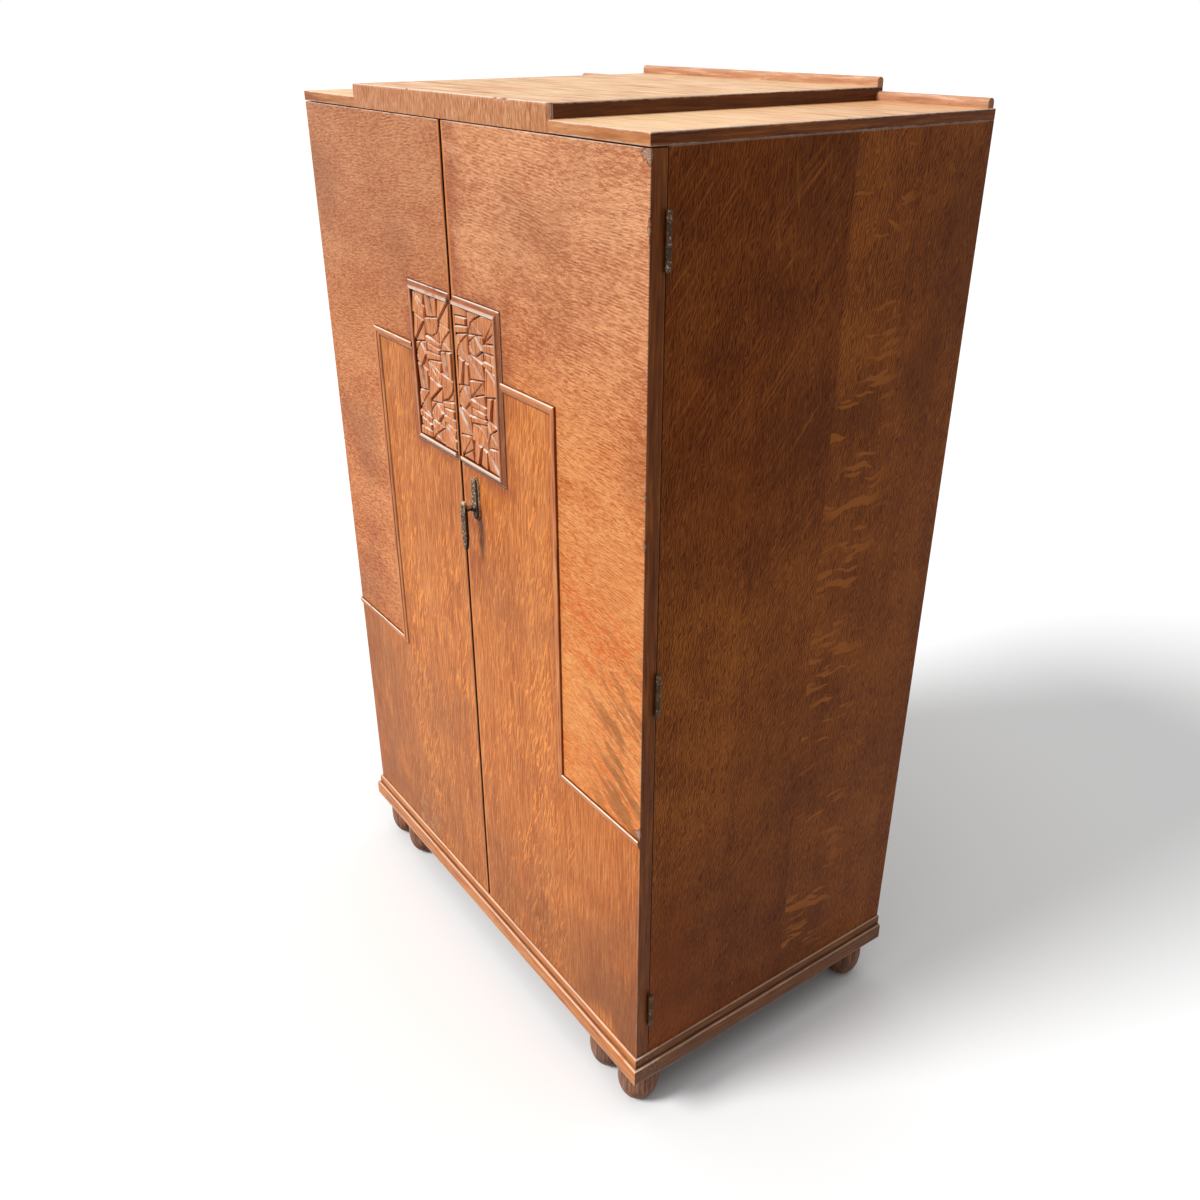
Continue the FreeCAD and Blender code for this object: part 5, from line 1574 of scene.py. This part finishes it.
class CUPBOARD_OT_handle(bpy.types.Operator):
    """Hammered bronze plate, spindle and lever of the right door"""

    bl_idname = "cupboard.handle"
    bl_label = "Handle"

    def execute(self, context):
        metal, sizes = settings().metal, settings().shapes
        bright, darkening = metal.bronze_bright, metal.bronze_dirt_and_shade
        # The tarnish colour serves the bronze's patina in clouds and the painted shade from the mesh's
        # layer.
        bronze = metal_finish("handle_bronze", metal.bronze, bright, darkening, 0.4, metallic=0.2, speckled=0.85)
        centre = np.array([
            (SPINDLE_LOW[0] + SPINDLE_HIGH[0]) / 2, (SPINDLE_LOW[2] + SPINDLE_HIGH[2]) / 2
        ])
        boss = np.array([
            (6.0, 7.0), (6.5, 8.0), (7.4, 7.8), (9.0, 6.4), (11.0, 5.5), (11.5, 5.2), (11.5, 4.0)
        ]) * MM
        pins = [
            screw_head((centre[0], FRONT - 6.6 * MM, z), -1, 1.7 * MM, 90 + number, dome=0.7 * MM)
            for number, z in enumerate((PLATE_HIGH[2] - 6.5 * MM, PLATE_LOW[2] + 6 * MM))
        ]
        plate = [hammered_plate(sizes), turned_bar(boss, centre, 2), *pins]
        make_piece("hammered_plate", plate, bronze, "right_door", ["handle_plate"])
        lever_back, lever_face = FRONT - LEVER_HIGH[1], FRONT - LEVER_LOW[1]
        behind = FRONT - SPINDLE_HIGH[1]
        neck = np.array([
            (behind, 6.0 * MM),
            (behind + 2 * MM, 7.0 * MM),
            (behind + 2 * MM, 4.0 * MM),
            (0.0, 3.9 * MM),
            (lever_back - 5 * MM, 3.9 * MM),
            (lever_back - 1 * MM, 4.6 * MM),
            (lever_back + 1 * MM, 5.0 * MM),
            (lever_back + 1.5 * MM, 3.0 * MM),
            (lever_face - 0.4 * MM, 2.8 * MM),
            (lever_face - 0.05 * MM, 1.6 * MM),
        ])
        spindle = turned_bar(neck, centre, 3)
        make_piece("turned_spindle", [spindle], bronze, "handle", ["handle_spindle"])
        lever = hammered_lever(centre, sizes)
        make_piece("hammered_lever", [lever], bronze, "handle", ["handle_lever"], sharp=60)
        return {"FINISHED"}


class CUPBOARD_OT_fastenings(bpy.types.Operator):
    """Latch tongue and keeper of iron, brass bolts and their screws"""

    bl_idname = "cupboard.fastenings"
    bl_label = "Fastenings"

    def execute(self, context):
        metal = settings().metal
        iron = metal_finish("latch_iron", metal.iron, metal.iron_bright, metal.rust, 0.45)
        brass = metal_finish("bolt_brass", metal.brass, metal.brass_bright, metal.brass_dull, 0.36)
        dress(iron, "latch_tongue", "latch_keeper")
        dress(brass, "bolt_upper", "bolt_lower", "bolt_guide_upper", "bolt_guide_lower")
        heads = []
        inset = np.array([3.2, 0, 14]) * MM
        face = DOOR_HIGH[1] + 1.5 * MM
        for number, node in enumerate(("bolt_guide_upper", "bolt_guide_lower")):
            low, high = span(node)
            first, last = low + inset, high - inset
            corners = [(x, face, z) for z in (first[2], last[2]) for x in (first[0], last[0])]
            for place, centre in enumerate(corners):
                heads.append(screw_head(centre, 1, 1.9 * MM, 100 + number * 4 + place))
        make_piece("bolt_guide_screws", heads, brass, "left_door")
        low, high = span("latch_keeper")
        middle = (low[0] + high[0]) / 2
        heads = [
            screw_head((middle, high[1], z), 1, 2.2 * MM, 120 + number, dome=0.08 * MM)
            for number, z in enumerate((low[2] + 4.5 * MM, high[2] - 4.5 * MM))
        ]
        make_piece("keeper_screws", heads, iron, "left_door")
        return {"FINISHED"}


# Stage

FLOOR_HALF = 30.0
FLOOR_POINTS = 7
FLOOR_DROP = 0.2 * MM
SENSOR_WIDE = 36


def stage_floor(stage):
    """Level floor that looks pale to the camera and to reflections, and lights the object less."""
    finish = Finish("floor_paper")
    tree = finish.tree
    seen = light_path(finish)
    paper = finish.node("ShaderNodeBsdfDiffuse", {}, {"Color": stage.floor})
    bounce = finish.node("ShaderNodeBsdfDiffuse", {}, {"Color": stage.floor_bounce})
    shown = finish.node("ShaderNodeMixShader", {}, {0: seen, 1: bounce, 2: paper})
    tree.links.new(shown.socket, tree.nodes["Material Output"].inputs["Surface"])
    reach = np.linspace(-FLOOR_HALF, FLOOR_HALF, FLOOR_POINTS)
    x, y = np.meshgrid(reach, reach)
    points = np.stack([x, y, np.full_like(x, -FLOOR_DROP)], -1).reshape(-1, 3)
    mesh = bpy.data.meshes.new("floor")
    mesh.from_pydata(points.tolist(), [], grid_faces(FLOOR_POINTS, FLOOR_POINTS, False))
    mesh.materials.append(finish.material)
    floor = bpy.data.objects.new("floor", mesh)
    bpy.context.scene.collection.objects.link(floor)


def light_path(finish):
    """1 for rays from the camera, and for mirrored and passing rays."""
    camera = finish.node("ShaderNodeLightPath", {}, {}, "Is Camera Ray")
    outputs = camera.socket.node.outputs
    glossy = Socket(finish, outputs["Is Glossy Ray"])
    passing = Socket(finish, outputs["Is Transmission Ray"])
    return camera.most(glossy).most(passing)


class WorldFinish(Finish):
    """The world's nodes, built the same way as a material's."""

    def __init__(self, world):
        self.tree = world.node_tree


def stage_world(stage):
    """White background with a softer light from all round."""
    world = bpy.data.worlds.new("studio")
    world.use_nodes = True
    finish = WorldFinish(world)
    seen = light_path(finish)
    background = world.node_tree.nodes["Background"]
    background.inputs["Color"].default_value = (1, 1, 1, 1)
    finish.fill(background.inputs["Strength"], seen * (1 - stage.sky) + stage.sky)
    bpy.context.scene.world = world


def sun(name, strength, turn, angle):
    """Sun lamp of that strength, turned about X, Y and Z, that spans an angle."""
    lamp = bpy.data.lights.new(name, "SUN")
    lamp.energy = strength
    lamp.angle = angle
    light = bpy.data.objects.new(name, lamp)
    light.rotation_euler = turn
    bpy.context.scene.collection.objects.link(light)


class CUPBOARD_OT_stage(bpy.types.Operator):
    """Camera at the photograph's view, pale floor, soft front light and light from above"""

    bl_idname = "cupboard.stage"
    bl_label = "Stage"

    def execute(self, context):
        stage = settings().stage
        lens = bpy.data.cameras.new("camera")
        lens.sensor_width = SENSOR_WIDE
        lens.lens = stage.lens
        lens.shift_x, lens.shift_y = stage.shift_x, stage.shift_y
        camera = bpy.data.objects.new("camera", lens)
        camera.location = stage.camera_place
        camera.rotation_euler = stage.camera_turn
        context.scene.collection.objects.link(camera)
        context.scene.camera = camera
        context.scene.view_settings.view_transform = "Standard"
        stage_floor(stage)
        stage_world(stage)
        sun("key", stage.key, stage.key_turn, stage.key_size)
        sun("overhead", stage.overhead, (0, 0, 0), stage.overhead_size)
        return {"FINISHED"}


class CUPBOARD_PT_pieces(bpy.types.Panel):
    """Lists the steps that dress the cupboard"""

    bl_idname = "CUPBOARD_PT_pieces"
    bl_label = "Linen cupboard"
    bl_space_type = "VIEW_3D"
    bl_region_type = "UI"
    bl_category = "Cupboard"

    def draw(self, context):
        for step in STEPS:
            self.layout.operator(step.bl_idname)


STEPS = (
    CUPBOARD_OT_stage,
    CUPBOARD_OT_doors,
    CUPBOARD_OT_mouldings,
    CUPBOARD_OT_carvings,
    CUPBOARD_OT_case,
    CUPBOARD_OT_top,
    CUPBOARD_OT_base,
    CUPBOARD_OT_hinges,
    CUPBOARD_OT_handle,
    CUPBOARD_OT_fastenings,
)
GROUPS = (CupboardOak, CupboardMetal, CupboardShapes, CupboardStage, CupboardSettings)
CLASSES = (*GROUPS, *STEPS, CUPBOARD_PT_pieces)


def register():
    """Add the classes and the scene's settings."""
    for cls in CLASSES:
        bpy.utils.register_class(cls)
    bpy.types.Scene.linen_cupboard = PointerProperty(type=CupboardSettings)


def unregister():
    """Take the settings and the classes away again."""
    del bpy.types.Scene.linen_cupboard
    for cls in reversed(CLASSES):
        bpy.utils.unregister_class(cls)


def main():
    """Dress the cupboard step by step."""
    register()
    for step in STEPS:
        group, name = step.bl_idname.split(".")
        getattr(getattr(bpy.ops, group), name)()


if __name__ == "__main__":
    main()
